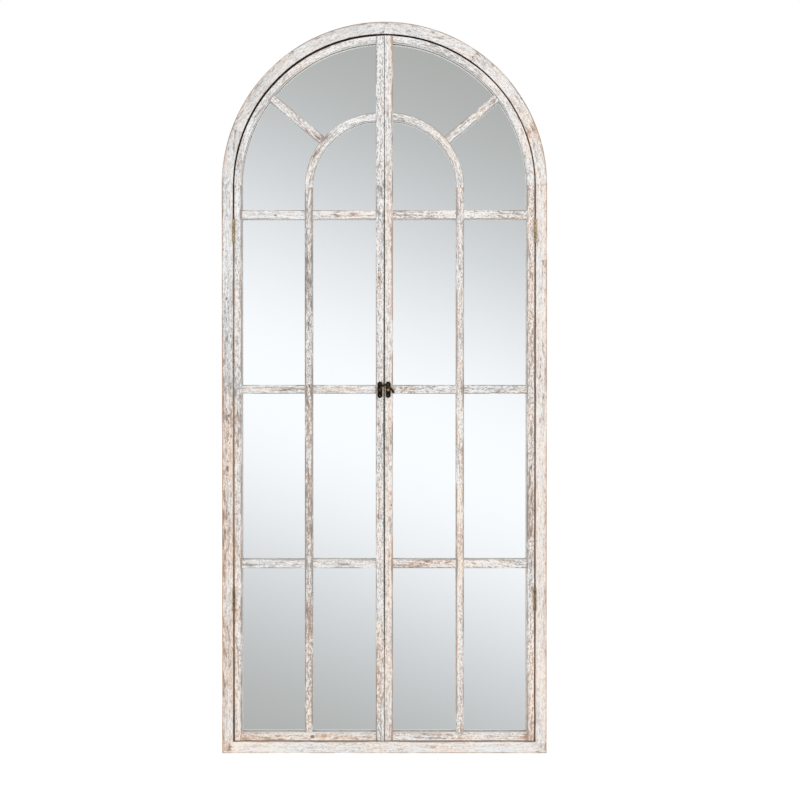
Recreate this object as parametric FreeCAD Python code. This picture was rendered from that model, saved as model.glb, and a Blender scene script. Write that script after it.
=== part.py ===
import FreeCAD, Part
import math
import os

# Arched window mirror: a solid-wood arched outer frame that holds one arched
# sheet of mirror, and two half-arched lattice doors that close in front of it.
#
# Row frame, millimetres: +X to the right of a viewer, +Y away from the viewer
# (towards the wall), +Z up. The origin is the centre of the underside of the
# bottom rail, 16 behind the frame's front.

# ---------------------------------------------------------------- dimensions
# outer frame
FRAME_HALF_WIDTH = 400.0      # the outer width is 800
SPRING_Z = 1400.0             # height where the arch begins; the top is at 1800
FRAME_FACE = 28.0             # face width of jambs and arch
RAIL_FACE = 29.0              # face height of the bottom rail
FRONT_Y = -16.0               # plane of the frame's front and the doors' front
REBATE_Y = 5.5                # front of the rebate that takes the mirror
BACK_Y = 12.0                 # plane of the frame's back
REBATE_DEPTH = 9.0            # how far the rebate goes into the member's face width
ARCH_JOINTS = (0.0, 20.0, 55.0, 90.0, 125.0, 160.0, 180.0)   # butt joints, degrees
FRAME_DOWEL_R = 4.0
FRAME_DOWEL_LEN = 36.0
CORNER_DOWEL_R = 3.0
CORNER_DOWEL_LEN = 26.0

# mirror and backing
MIRROR_HALF_WIDTH = 380.0
MIRROR_THICKNESS = 3.0
BOARD_THICKNESS = 3.5
BOARD_GAP = 0.5               # all round the backing board
STRIP_HALF_WIDTH = 4.0        # felt strip on the mirror behind the gap between the doors
STRIP_THICKNESS = 2.4

# doors (the right one is drawn, the left one is its mirror image)
DOOR_OUTER_X = 369.0          # outer face of the hinge stile
CENTRE_GAP_HALF = 0.9         # half the gap between the two doors
HINGE_STILE_FACE = 19.0
MEETING_STILE_FACE = 20.35
DOOR_BOTTOM_Z = 31.5
DOOR_RAIL_FACE = 20.0
DOOR_SPRING_Z = 1398.0        # centre height of the door's arch
DOOR_BACK_Y = -1.0            # the doors are 15 thick
BAR_FACE = 22.0
BAR_Z = (467.5, 897.0, 1326.5)
MUNTIN_X = 186.0              # centre of the upright glazing bar
MUNTIN_FACE = 20.0
INNER_ARCH_C = 12.07          # centre of the inner arch, right of the middle line
INNER_ARCH_Z = 1393.07        # and its height
SPOKE_ORIGIN_Z = 1381.0
SPOKE_ANGLE = 40.0            # degrees above the horizontal
SPOKE_FACE = 20.0
DOOR_DOWEL_R = 3.0
DOOR_DOWEL_LEN = 22.0
STOP_R = 4.0
STOP_HEIGHT = 6.2

# butt hinges, two a side
HINGE_AXIS_X = 370.5
HINGE_AXIS_Y = -17.5
HINGE_Z = {"lower": 379.5, "upper": 1286.0}
HINGE_LENGTH = 55.0
KNUCKLE_R = 3.25
KNUCKLE_GAP = 0.4
KNUCKLES = 5                  # three on the frame leaf, two on the door leaf
PIN_R = 1.25
PIN_CLEARANCE = 0.05          # running clearance in the door's knuckles
PIN_HEAD_R = 2.4
PIN_HEAD_H = 1.5
LEAF_THICKNESS = 1.2
LEAF_WIDTH = 15.0             # from the pin's axis to the leaf's free edge
NOTCH_CLEARANCE = 0.35        # between the barrel and the wood
HINGE_SCREW_R = 1.3
HINGE_SCREW_HEAD_R = 2.4
HINGE_SCREW_LEN = 12.5
HINGE_SCREW_DZ = (-18.0, 0.0, 18.0)
HINGE_SCREW_DY = (-2.0, 2.0, -2.0)

# swing-hook latch
LATCH_Z = 896.0
LATCH_LEFT_X = -11.0
LATCH_RIGHT_X = 9.3
PLATE_WIDTH = 12.0
PLATE_HEIGHT = 40.0
PLATE_THICKNESS = 1.5
LATCH_SCREW_DZ = 14.0
LATCH_SCREW_HEAD_R = 4.0
LATCH_SCREW_HEAD_H = 1.4
LATCH_SCREW_R = 1.5
LATCH_SCREW_LEN = 9.0
HOOK_BACK_Y = -19.3
HOOK_THICKNESS = 2.6
HOOK_WIDTH = 5.4
HOOK_EYE_R = 4.6
RIVET_R = 2.0
RIVET_CLEARANCE = 0.06
PEG_R = 2.4
PEG_HEAD_R = 3.6
PEG_CLEARANCE = 0.3
BALL_R = 3.3

# back hardware
CLIP_LENGTH = 30.0
CLIP_WIDTH = 12.0
CLIP_THICKNESS = 1.2
CLIP_SCREW_AT = 390.5         # distance of the clip screws from the middle line
CLIP_SCREW_R = 1.5
CLIP_SCREW_LEN = 11.0
CLIP_JAMB_Z = (140.0, 520.0, 900.0, 1240.0)
CLIP_ARCH = (40.0, 75.0, 105.0, 140.0)
CLIP_RAIL_X = (-200.0, 200.0)
HANGER_X = 390.5
HANGER_Z = 1330.0
HANGER_WIDTH = 16.0
HANGER_HEIGHT = 48.0
HANGER_THICKNESS = 1.6
HANGER_HOLE_R = 4.5
HANGER_HOLE_DZ = -7.0         # entry hole below the plate's centre
HANGER_SLOT = 4.6
HANGER_SLOT_LEN = 12.0
HANGER_SCREW_DZ = 19.5
HANGER_POCKET_DEPTH = 8.0
PAD_R = 5.5
PAD_HEIGHT = 3.0

# ------------------------------------------------------------------- helpers
V = FreeCAD.Vector
Y = V(0, 1, 0)
os.makedirs("parts", exist_ok=True)


def box(x0, x1, y0, y1, z0, z1):
    return Part.makeBox(x1 - x0, y1 - y0, z1 - z0, V(x0, y0, z0))


def rod(r, start, direction, length):
    return Part.makeCylinder(r, length, start, direction)


def rod_about(r, middle, direction, length):
    d = V(direction)
    d.normalize()
    return rod(r, middle - d * (length / 2.0), d, length)


def plate(outline, y0, y1):
    """A flat piece between two planes. Each step of outline is a point (x, z),
    or a pair of points: the middle and the end of an arc."""
    steps = [s for s in outline]
    first = V(steps[0][0], y0, steps[0][1])
    here = first
    edges = []
    for s in steps[1:] + [steps[0]]:
        if isinstance(s[0], tuple):
            mid = V(s[0][0], y0, s[0][1])
            end = V(s[1][0], y0, s[1][1])
            edges.append(Part.Arc(here, mid, end).toShape())
        else:
            end = V(s[0], y0, s[1])
            if (end - here).Length < 1e-7:
                continue
            edges.append(Part.LineSegment(here, end).toShape())
        here = end
    return Part.Face(Part.Wire(edges)).extrude(V(0, y1 - y0, 0))


def turned(section, cx, cz, a0, a1):
    """A closed section [(distance from centre, y), ...] swept round the centre
    (cx, cz) from angle a0 to a1, in degrees above the +X direction."""
    pts = [V(cx + r, y, cz) for r, y in section]
    face = Part.Face(Part.makePolygon(pts + [pts[0]]))
    face.rotate(V(cx, 0, cz), Y, -a0)
    return face.revolve(V(cx, 0, cz), Y, -(a1 - a0))


def on_circle(r, a, cz=SPRING_Z, cx=0.0):
    return cx + r * math.cos(math.radians(a)), cz + r * math.sin(math.radians(a))


def flip(shape):
    """The same piece on the left-hand side."""
    return shape.mirror(V(0, 0, 0), V(1, 0, 0))


def sided(shape, side):
    return shape if side > 0 else flip(shape)


def revolve_y(profile, x, z):
    """A turned piece with its axis along Y through (x, z): profile is
    [(radius, y), ...], closed back along the axis."""
    pts = [V(x + r, y, z) for r, y in profile]
    face = Part.Face(Part.makePolygon(pts + [pts[0]]))
    return face.revolve(V(x, 0, z), Y, 360)


def dome_profile(r, y_flat, y_top, n=6):
    """Points from the rim of a low dome to its crown."""
    h = abs(y_top - y_flat)
    big = (r * r + h * h) / (2.0 * h)
    half = math.asin(r / big)
    s = 1.0 if y_top > y_flat else -1.0
    out = []
    for i in range(n + 1):
        a = half * (1.0 - i / float(n))
        out.append((big * math.sin(a), y_flat + s * (big * math.cos(a) - (big - h))))
    return out


nodes = {}


def save(name, pieces):
    pieces = pieces if isinstance(pieces, list) else [pieces]
    solids = []
    for p in pieces:
        p = p.removeSplitter()
        solids += p.Solids
    for s in solids:
        if not s.isValid() or s.Volume <= 0:
            raise ValueError("bad solid in " + name)
    shape = solids[0] if len(solids) == 1 else Part.makeCompound(solids)
    shape.exportStep("parts/" + name + ".step")
    nodes[name] = shape


# ------------------------------------------------------------- screws, dowels
dowels_frame = []
dowels_door = []

for a in ARCH_JOINTS:
    x, z = on_circle(FRAME_HALF_WIDTH - FRAME_FACE / 2.0, a)
    t = V(-math.sin(math.radians(a)), 0, math.cos(math.radians(a)))
    dowels_frame.append(rod_about(FRAME_DOWEL_R, V(x, -5.0, z), t, FRAME_DOWEL_LEN))
for side in (-1, 1):
    mid = V(side * (FRAME_HALF_WIDTH - FRAME_FACE / 2.0), -5.0, RAIL_FACE / 2.0)
    dowels_frame.append(
        rod_about(CORNER_DOWEL_R, mid, V(side * RAIL_FACE, 0, FRAME_FACE), CORNER_DOWEL_LEN)
    )

# keyhole hangers: a pocket behind each plate takes the head of the wall screw
hanger_pockets = []
hanger_plates = []
hanger_screws = []
entry_z = HANGER_Z + HANGER_HOLE_DZ
for side in (-1, 1):
    cx = side * HANGER_X
    hanger_pockets.append(
        box(cx - 5.5, cx + 5.5, BACK_Y - HANGER_POCKET_DEPTH, BACK_Y,
            entry_z - 5.5, entry_z + HANGER_SLOT_LEN + 3.5)
    )
    w, h, r = HANGER_WIDTH / 2.0, HANGER_HEIGHT / 2.0, 3.0
    k = r * (1 - math.sqrt(0.5))
    outline = [
        (cx - w + r, HANGER_Z - h), (cx + w - r, HANGER_Z - h),
        ((cx + w - k, HANGER_Z - h + k), (cx + w, HANGER_Z - h + r)),
        (cx + w, HANGER_Z + h - r),
        ((cx + w - k, HANGER_Z + h - k), (cx + w - r, HANGER_Z + h)),
        (cx - w + r, HANGER_Z + h),
        ((cx - w + k, HANGER_Z + h - k), (cx - w, HANGER_Z + h - r)),
        (cx - w, HANGER_Z - h + r),
        ((cx - w + k, HANGER_Z - h + k), (cx - w + r, HANGER_Z - h)),
    ]
    p = plate(outline, BACK_Y, BACK_Y + HANGER_THICKNESS)
    s = HANGER_SLOT / 2.0
    cuts = [
        rod(HANGER_HOLE_R, V(cx, BACK_Y - 1, entry_z), Y, 5),
        box(cx - s, cx + s, BACK_Y - 1, BACK_Y + 4, entry_z, entry_z + HANGER_SLOT_LEN - s),
        rod(s, V(cx, BACK_Y - 1, entry_z + HANGER_SLOT_LEN - s), Y, 5),
    ]
    for dz in (-HANGER_SCREW_DZ, HANGER_SCREW_DZ):
        sz = HANGER_Z + dz
        top = BACK_Y + HANGER_THICKNESS
        scr = revolve_y(
            [(0, top), (2.9, top), (1.5, top - 1.4), (1.5, BACK_Y - 10.0), (0, BACK_Y - 11.5)],
            cx, sz,
        )
        hanger_screws.append(scr)
        cuts.append(scr)
    hanger_plates.append(p.cut(cuts))

# flat clips that hold the backing board in the rebate, and their screws
clips = []
clip_screws = []


def clip_at(along, placed):
    """A clip is drawn along +X from the middle line and then moved into place."""
    c = box(CLIP_SCREW_AT + 6.5 - CLIP_LENGTH, CLIP_SCREW_AT + 6.5,
            BACK_Y, BACK_Y + CLIP_THICKNESS, -CLIP_WIDTH / 2.0, CLIP_WIDTH / 2.0)
    c = c.makeFillet(2.5, [e for e in c.Edges
                           if abs(e.Vertexes[0].Point.x - e.Vertexes[-1].Point.x) < 1e-6
                           and abs(e.Vertexes[0].Point.z - e.Vertexes[-1].Point.z) < 1e-6])
    top = BACK_Y + CLIP_THICKNESS
    prof = [(0, BACK_Y - CLIP_SCREW_LEN), (CLIP_SCREW_R, BACK_Y - CLIP_SCREW_LEN + 1.5),
            (CLIP_SCREW_R, top)] + dome_profile(3.0, top, top + 1.3)
    s = revolve_y(prof, CLIP_SCREW_AT, 0)
    hole = rod(CLIP_SCREW_R, V(CLIP_SCREW_AT, BACK_Y - 2, 0), Y, 6)
    c = c.cut(hole)
    for shape, out in ((c, clips), (s, clip_screws)):
        shape = shape.copy()
        placed(shape)
        out.append(shape)


for side in (-1, 1):
    for z in CLIP_JAMB_Z:
        def put(shape, side=side, z=z):
            if side < 0:
                shape.rotate(V(0, 0, 0), Y, 180)
            shape.translate(V(0, 0, z))
        clip_at(None, put)
for a in CLIP_ARCH:
    def put(shape, a=a):
        shape.rotate(V(0, 0, 0), Y, -a)
        shape.translate(V(0, 0, SPRING_Z))
    clip_at(None, put)
for x in CLIP_RAIL_X:
    def put(shape, x=x):
        shape.rotate(V(0, 0, 0), Y, 90)
        shape.translate(V(x, 0, FRAME_HALF_WIDTH))
    clip_at(None, put)

# -------------------------------------------------------------------- hinges
leaves_frame = {}
leaves_door = {}
pins = []
screws_frame = []
screws_door = []
notches = []
seg = (HINGE_LENGTH - KNUCKLE_GAP * (KNUCKLES - 1)) / KNUCKLES
leaf_in = 1.6                 # the leaf grows out of the knuckle's wall here
ax, ay = HINGE_AXIS_X, HINGE_AXIS_Y

for where in ("lower", "upper"):
    mid = HINGE_Z[where]
    z0 = mid - HINGE_LENGTH / 2.0
    z1 = z0 + HINGE_LENGTH
    # frame leaf lies on the jamb's inner face, door leaf on the stile's edge
    lf = box(ax + 0.3, ax + 0.3 + LEAF_THICKNESS, ay + leaf_in, ay + LEAF_WIDTH, z0, z1)
    ld = box(ax - 0.3 - LEAF_THICKNESS, ax - 0.3, ay + leaf_in, ay + LEAF_WIDTH, z0, z1)
    clear_f, clear_d = [], []
    for i in range(KNUCKLES):
        a = z0 + i * (seg + KNUCKLE_GAP)
        k = rod(KNUCKLE_R, V(ax, ay, a), V(0, 0, 1), seg)
        room = rod(KNUCKLE_R + NOTCH_CLEARANCE, V(ax, ay, a - KNUCKLE_GAP), V(0, 0, 1),
                   seg + 2 * KNUCKLE_GAP)
        if i % 2 == 0:
            lf = lf.fuse(k)
            clear_d.append(room)
        else:
            ld = ld.fuse(k)
            clear_f.append(room)
    lf = lf.cut(clear_f + [rod(PIN_R, V(ax, ay, z0 - 1), V(0, 0, 1), HINGE_LENGTH + 2)])
    ld = ld.cut(clear_d + [rod(PIN_R + PIN_CLEARANCE, V(ax, ay, z0 - 1), V(0, 0, 1), HINGE_LENGTH + 2)])
    pin = rod(PIN_R, V(ax, ay, z0), V(0, 0, 1), HINGE_LENGTH)
    for end, s in ((z0, -1.0), (z1, 1.0)):
        prof = [V(ax, ay, end), V(ax + PIN_HEAD_R, ay, end), V(ax + PIN_HEAD_R, ay, end + s * 0.6),
                V(ax + 1.3, ay, end + s * PIN_HEAD_H), V(ax, ay, end + s * PIN_HEAD_H)]
        head = Part.Face(Part.makePolygon(prof + [prof[0]])).revolve(V(ax, ay, 0), V(0, 0, 1), 360)
        pin = pin.fuse(head)
    notches.append(rod(KNUCKLE_R + NOTCH_CLEARANCE, V(ax, ay, z0 - 2.2), V(0, 0, 1), HINGE_LENGTH + 4.4))
    # countersunk screws, heads flush with the leaves' facing sides
    hf, hd = [], []
    for dz, dy in zip(HINGE_SCREW_DZ, HINGE_SCREW_DY):
        y, z = ay + 9.3 + dy, mid + dz
        for s, face_x, out in ((1.0, ax + 0.3, hf), (-1.0, ax - 0.3, hd)):
            prof = [(0, 0), (HINGE_SCREW_HEAD_R, 0), (HINGE_SCREW_R, 1.1),
                    (HINGE_SCREW_R, HINGE_SCREW_LEN - 2.0), (0, HINGE_SCREW_LEN)]
            pts = [V(face_x + s * d, y + r, z) for r, d in prof]
            scr = Part.Face(Part.makePolygon(pts + [pts[0]])).revolve(V(face_x, y, z), V(1, 0, 0), 360)
            out.append(scr)
    lf = lf.cut(hf)
    ld = ld.cut(hd)
    leaves_frame[where] = lf
    leaves_door[where] = ld
    pins.append(pin)
    screws_frame += hf
    screws_door += hd

# --------------------------------------------------------------- outer frame
inner = FRAME_HALF_WIDTH - FRAME_FACE
rebate = inner + REBATE_DEPTH
ledge_z = RAIL_FACE * (FRAME_HALF_WIDTH - rebate) / FRAME_FACE   # on the mitre line
H = FRAME_HALF_WIDTH

jamb = plate([(H, 0), (H, SPRING_Z), (inner, SPRING_Z), (inner, RAIL_FACE)], FRONT_Y, REBATE_Y)
jamb = jamb.fuse(plate([(H, 0), (H, SPRING_Z), (rebate, SPRING_Z), (rebate, ledge_z)], REBATE_Y, BACK_Y))
jamb = jamb.cut(notches + screws_frame)
for side, name in ((-1, "frame_jamb_left"), (1, "frame_jamb_right")):
    j = sided(jamb, side)
    j = j.cut([d for d in dowels_frame + clip_screws + hanger_pockets + hanger_screws
               if d.BoundBox.Center.x * side > 0])
    save(name, j)

rail = plate([(-H, 0), (H, 0), (inner, RAIL_FACE), (-inner, RAIL_FACE)], FRONT_Y, REBATE_Y)
rail = rail.fuse(plate([(-H, 0), (H, 0), (rebate, ledge_z), (-rebate, ledge_z)], REBATE_Y, BACK_Y))
save("frame_bottom_rail", rail.cut(dowels_frame + clip_screws))

# the arch's inner face runs on the doors' centre, so the gap is the same all round
hollow = rod(inner, V(0, FRONT_Y - 1, DOOR_SPRING_Z), Y, REBATE_Y - FRONT_Y + 2)
lip = inner - (SPRING_Z - DOOR_SPRING_Z) - 1.0
section = [(lip, FRONT_Y), (H, FRONT_Y), (H, BACK_Y), (rebate, BACK_Y), (rebate, REBATE_Y), (lip, REBATE_Y)]
arch_names = ["frame_arch_lower_right", "frame_arch_middle_right", "frame_arch_upper_right",
              "frame_arch_upper_left", "frame_arch_middle_left", "frame_arch_lower_left"]
for name, a0, a1 in zip(arch_names, ARCH_JOINTS[:-1], ARCH_JOINTS[1:]):
    piece = turned(section, 0, SPRING_Z, a0, a1)
    save(name, piece.cut([hollow] + dowels_frame + clip_screws))

save("frame_dowels", dowels_frame)

# -------------------------------------------------------- mirror and backing
M = MIRROR_HALF_WIDTH
save("mirror_glass", plate(
    [(-M, ledge_z), (M, ledge_z), (M, SPRING_Z), ((0, SPRING_Z + M), (-M, SPRING_Z))],
    REBATE_Y, REBATE_Y + MIRROR_THICKNESS))
B = rebate - BOARD_GAP
save("backing_board", plate(
    [(-B, ledge_z), (B, ledge_z), (B, SPRING_Z), ((0, SPRING_Z + B), (-B, SPRING_Z))],
    REBATE_Y + MIRROR_THICKNESS, REBATE_Y + MIRROR_THICKNESS + BOARD_THICKNESS))
save("backing_clips", clips)
save("hanger_plates", hanger_plates)
save("back_screws", clip_screws + hanger_screws)
save("centre_strip", box(-STRIP_HALF_WIDTH, STRIP_HALF_WIDTH, REBATE_Y - STRIP_THICKNESS, REBATE_Y,
                         RAIL_FACE + 1.0, DOOR_SPRING_Z + inner - 2.0))

pads = []
for side in (-1, 1):
    pads.append(rod(PAD_R, V(side * CLIP_SCREW_AT, BACK_Y, 40.0), Y, PAD_HEIGHT))
    x, z = on_circle(CLIP_SCREW_AT, 50.0)
    pads.append(rod(PAD_R, V(side * x, BACK_Y, z), Y, PAD_HEIGHT))
save("wall_pads", pads)

# --------------------------------------------------------------------- doors
X0 = CENTRE_GAP_HALF
X1 = CENTRE_GAP_HALF + MEETING_STILE_FACE
X2 = DOOR_OUTER_X - HINGE_STILE_FACE
X3 = DOOR_OUTER_X
ZB = DOOR_BOTTOM_Z
ZR = DOOR_BOTTOM_Z + DOOR_RAIL_FACE
MID_Y = (FRONT_Y + DOOR_BACK_Y) / 2.0
ra, rb = INNER_ARCH_C, INNER_ARCH_Z
M0, M1 = MUNTIN_X - MUNTIN_FACE / 2.0, MUNTIN_X + MUNTIN_FACE / 2.0
RI0, RI1 = M0 - ra, M1 - ra       # inner arch: inside and outside radius


def circle_z(r, x, cz, cx=0.0):
    return cz + math.sqrt(r * r - (x - cx) ** 2)


# dowels in the door's joints
side_x = V(1, 0, 0)
up = V(0, 0, 1)
sp = V(math.cos(math.radians(SPOKE_ANGLE)), 0, math.sin(math.radians(SPOKE_ANGLE)))


def along_spoke(r, cx, cz):
    """Distance from the spokes' common centre to a circle, along the spoke."""
    dx, dz = -cx, SPOKE_ORIGIN_Z - cz
    b = dx * sp.x + dz * sp.z
    c = dx * dx + dz * dz - r * r
    return -b + math.sqrt(b * b - c)


spoke_in = along_spoke(RI1, ra, rb)
spoke_out = along_spoke(X2, 0.0, DOOR_SPRING_Z)
places = []
for z in BAR_Z + ((ZB + ZR) / 2.0,):
    places.append((V(X1, MID_Y, z), side_x))
    places.append((V(X2, MID_Y, z), side_x))
rail_mid = (X2 + X3) / 2.0
places.append((V(rail_mid, MID_Y, DOOR_SPRING_Z), up))
places.append((V(X1, MID_Y, circle_z(rail_mid, X1, DOOR_SPRING_Z)), side_x))
places.append((V(MUNTIN_X, MID_Y, ZR), up))
places.append((V(MUNTIN_X, MID_Y, rb), up))
places.append((V(X1, MID_Y, circle_z((RI0 + RI1) / 2.0, X1, rb, ra)), side_x))
for d in (spoke_in, spoke_out):
    places.append((V(sp.x * d, MID_Y, SPOKE_ORIGIN_Z + sp.z * d), sp))
dowels_door = [rod_about(DOOR_DOWEL_R, p, d, DOOR_DOWEL_LEN) for p, d in places]

right = {}
right["hinge_stile"] = box(X2, X3, FRONT_Y, DOOR_BACK_Y, ZB, DOOR_SPRING_Z).cut(notches + screws_door)
xm = (X0 + X1) / 2.0
right["meeting_stile"] = plate(
    [(X0, ZB), (X1, ZB), (X1, circle_z(X3, X1, DOOR_SPRING_Z)),
     ((xm, circle_z(X3, xm, DOOR_SPRING_Z)), (X0, circle_z(X3, X0, DOOR_SPRING_Z)))],
    FRONT_Y, DOOR_BACK_Y)
right["bottom_rail"] = box(X1, X2, FRONT_Y, DOOR_BACK_Y, ZB, ZR)
door_section = [(X2, FRONT_Y), (X3, FRONT_Y), (X3, DOOR_BACK_Y), (X2, DOOR_BACK_Y)]
middle = box(-50, X1, -40, 40, 1300, 1900)
right["arch_rail"] = turned(door_section, 0, DOOR_SPRING_Z, 0, 90).cut(middle)
# glazing bars cross in half laps: the upright shows in front
laps_upright = [box(M0 - 1, M1 + 1, MID_Y, DOOR_BACK_Y + 1, z - BAR_FACE / 2.0, z + BAR_FACE / 2.0) for z in BAR_Z]
right["middle_muntin"] = box(M0, M1, FRONT_Y, DOOR_BACK_Y, ZR, rb).cut(laps_upright)
for name, z in zip(("lower", "middle", "upper"), BAR_Z):
    b = box(X1, X2, FRONT_Y, DOOR_BACK_Y, z - BAR_FACE / 2.0, z + BAR_FACE / 2.0)
    right["cross_bar_" + name] = b.cut(box(M0, M1, FRONT_Y - 1, MID_Y, z - 20, z + 20))
inner_section = [(RI0, FRONT_Y), (RI1, FRONT_Y), (RI1, DOOR_BACK_Y), (RI0, DOOR_BACK_Y)]
right["inner_arch"] = turned(inner_section, ra, rb, 0, 90).cut(middle)
spoke = box(150, 400, FRONT_Y, DOOR_BACK_Y, -SPOKE_FACE / 2.0, SPOKE_FACE / 2.0)
spoke.rotate(V(0, 0, 0), Y, -SPOKE_ANGLE)
spoke.translate(V(0, 0, SPOKE_ORIGIN_Z))
spoke = spoke.common(rod(X2, V(0, -30, DOOR_SPRING_Z), Y, 60))
right["spoke"] = spoke.cut(rod(RI1, V(ra, -30, rb), Y, 60))

# latch screws, shared by the plates and the meeting stiles
latch_screws = {}
for side, cx in ((-1, LATCH_LEFT_X), (1, LATCH_RIGHT_X)):
    out = []
    for dz in (-LATCH_SCREW_DZ, LATCH_SCREW_DZ):
        face = FRONT_Y - PLATE_THICKNESS
        prof = [(0, FRONT_Y + LATCH_SCREW_LEN), (LATCH_SCREW_R, FRONT_Y + LATCH_SCREW_LEN - 2),
                (LATCH_SCREW_R, face)]
        prof += dome_profile(LATCH_SCREW_HEAD_R, face, face - LATCH_SCREW_HEAD_H)
        s = revolve_y(prof, cx, LATCH_Z + dz)
        slot = box(-5, 5, face - 3, face - LATCH_SCREW_HEAD_H + 0.7, -0.5, 0.5)
        slot.rotate(V(0, 0, 0), Y, 25 + 40 * side + dz * 3)
        slot.translate(V(cx, 0, LATCH_Z + dz))
        out.append(s.cut(slot))
    latch_screws[side] = out

for side, word in ((-1, "left"), (1, "right")):
    drilled = [sided(d, side) for d in dowels_door]
    for name, shape in right.items():
        s = sided(shape, side)
        cuts = list(drilled)
        if name == "meeting_stile":
            cuts += [rod(LATCH_SCREW_R, V(p.BoundBox.Center.x, FRONT_Y - 1, p.BoundBox.Center.z), Y,
                         LATCH_SCREW_LEN + 1) for p in latch_screws[side]]
        save(word + "_" + name, s.cut(cuts))
    save(word + "_door_dowels", drilled)
    save(word + "_door_stops", [
        sided(rod(STOP_R, V(xm, DOOR_BACK_Y, z), Y, STOP_HEIGHT), side) for z in (60.0, 1705.0)])
    for where in ("lower", "upper"):
        save("hinge_leaf_frame_%s_%s" % (where, word), sided(leaves_frame[where], side))
        save("hinge_leaf_door_%s_%s" % (where, word), sided(leaves_door[where], side))
    save("hinge_screws_%s_door" % word, [sided(s, side) for s in screws_door])
save("hinge_pins", [sided(p, s) for s in (-1, 1) for p in pins])
save("hinge_screws_frame", [sided(p, s) for s in (-1, 1) for p in screws_frame])

# --------------------------------------------------------------------- latch
px, qx, lz = LATCH_LEFT_X, LATCH_RIGHT_X, LATCH_Z
face = FRONT_Y - PLATE_THICKNESS
hook_front = HOOK_BACK_Y - HOOK_THICKNESS


def latch_plate(cx):
    w = PLATE_WIDTH / 2.0
    h = PLATE_HEIGHT / 2.0 - w
    return plate([(cx - w, lz - h), ((cx, lz - h - w), (cx + w, lz - h)), (cx + w, lz + h),
                  ((cx, lz + h + w), (cx - w, lz + h))], face, FRONT_Y)


# pivot rivet: collar under the hook, shank through hook and plate, domed head
prof = [(0, FRONT_Y), (RIVET_R, FRONT_Y), (RIVET_R, face), (3.4, face), (3.4, HOOK_BACK_Y + 0.2),
        (RIVET_R, HOOK_BACK_Y + 0.2), (RIVET_R, hook_front - 0.2), (3.8, hook_front - 0.2)]
prof += dome_profile(3.8, hook_front - 0.2, hook_front - 1.8)[1:]
rivet = revolve_y(prof, px, lz)
# peg: tail through the plate, post for the hook, domed head
prof = [(0, FRONT_Y), (1.6, FRONT_Y), (1.6, face), (PEG_R, face), (PEG_R, hook_front - 0.4),
        (PEG_HEAD_R, hook_front - 0.4)]
prof += dome_profile(PEG_HEAD_R, hook_front - 0.4, hook_front - 1.9)[1:]
peg = revolve_y(prof, qx, lz)

for side, cx, rod_r in ((-1, px, RIVET_R), (1, qx, 1.6)):
    holes = [rod(rod_r, V(cx, face - 2, lz), Y, 6)]
    holes += [rod(LATCH_SCREW_R, V(cx, face - 2, lz + dz), Y, 6) for dz in (-LATCH_SCREW_DZ, LATCH_SCREW_DZ)]
    save("latch_plate_left" if side < 0 else "latch_plate_right", latch_plate(cx).cut(holes))
save("latch_rivet", rivet)
save("latch_peg", peg)
save("latch_screws_left", latch_screws[-1])
save("latch_screws_right", latch_screws[1])

# hook: a bar that rises from the pivot's eye, passes over the peg with a notch
# that drops behind it, and runs down to a ball that the finger lifts
arm = [(px, lz), (px + 1.7, lz + 4.2), (px + 3.8, lz + 7.4), (px + 6.6, lz + 9.8), (px + 10.0, lz + 11.1),
       (px + 13.6, lz + 11.1), (px + 17.0, lz + 10.1), (px + 20.4, lz + 8.3), (px + 23.6, lz + 6.0),
       (px + 26.6, lz + 3.3), (px + 29.3, lz + 0.4), (px + 31.2, lz - 2.2), (px + 32.2, lz - 4.2)]
w = HOOK_WIDTH / 2.0
hook = rod(HOOK_EYE_R, V(px, hook_front, lz), Y, HOOK_THICKNESS)
for i, (a, b) in enumerate(zip(arm[:-1], arm[1:])):
    L = math.hypot(b[0] - a[0], b[1] - a[1])
    bar = box(0, L, hook_front, HOOK_BACK_Y, -w, w)
    bar.rotate(V(0, 0, 0), Y, -math.degrees(math.atan2(b[1] - a[1], b[0] - a[0])))
    bar.translate(V(a[0], 0, a[1]))
    hook = hook.fuse([bar, rod(w, V(b[0], hook_front, b[1]), Y, HOOK_THICKNESS)])
# nose behind the peg, no nearer to the pivot than the peg's far side
nose = plate([(px + 23.2, lz - 2.6), ((px + 24.4, lz - 3.7), (px + 25.6, lz - 2.6)),
              (px + 27.2, lz + 2.6), (px + 22.6, lz + 6.6)], hook_front, HOOK_BACK_Y)
hook = hook.fuse(nose)
ball = Part.makeSphere(BALL_R, V(px + 32.9, (hook_front + HOOK_BACK_Y) / 2.0, lz - 5.6))
hook = hook.fuse(ball)
# the peg's way: an arc about the pivot, as wide as the peg with its clearance
peg_room = rod(PEG_R + PEG_CLEARANCE, V(qx, hook_front - 5, lz), Y, 15)
swept = turned([(qx - px - PEG_R - PEG_CLEARANCE, hook_front - 5), (qx - px + PEG_R + PEG_CLEARANCE, hook_front - 5),
                (qx - px + PEG_R + PEG_CLEARANCE, HOOK_BACK_Y + 5), (qx - px - PEG_R - PEG_CLEARANCE, HOOK_BACK_Y + 5)],
               px, lz, -40, 0)
hook = hook.cut([peg_room, swept, rod(RIVET_R + RIVET_CLEARANCE, V(px, hook_front - 5, lz), Y, 15)])
save("latch_hook", hook)

total = 0.0
for n in sorted(nodes):
    s = nodes[n]
    total += s.Volume
    print("%-32s solids %2d  volume %10.1f" % (n, len(s.Solids), s.Volume))
print(len(nodes), "nodes")
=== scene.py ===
import math

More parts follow.
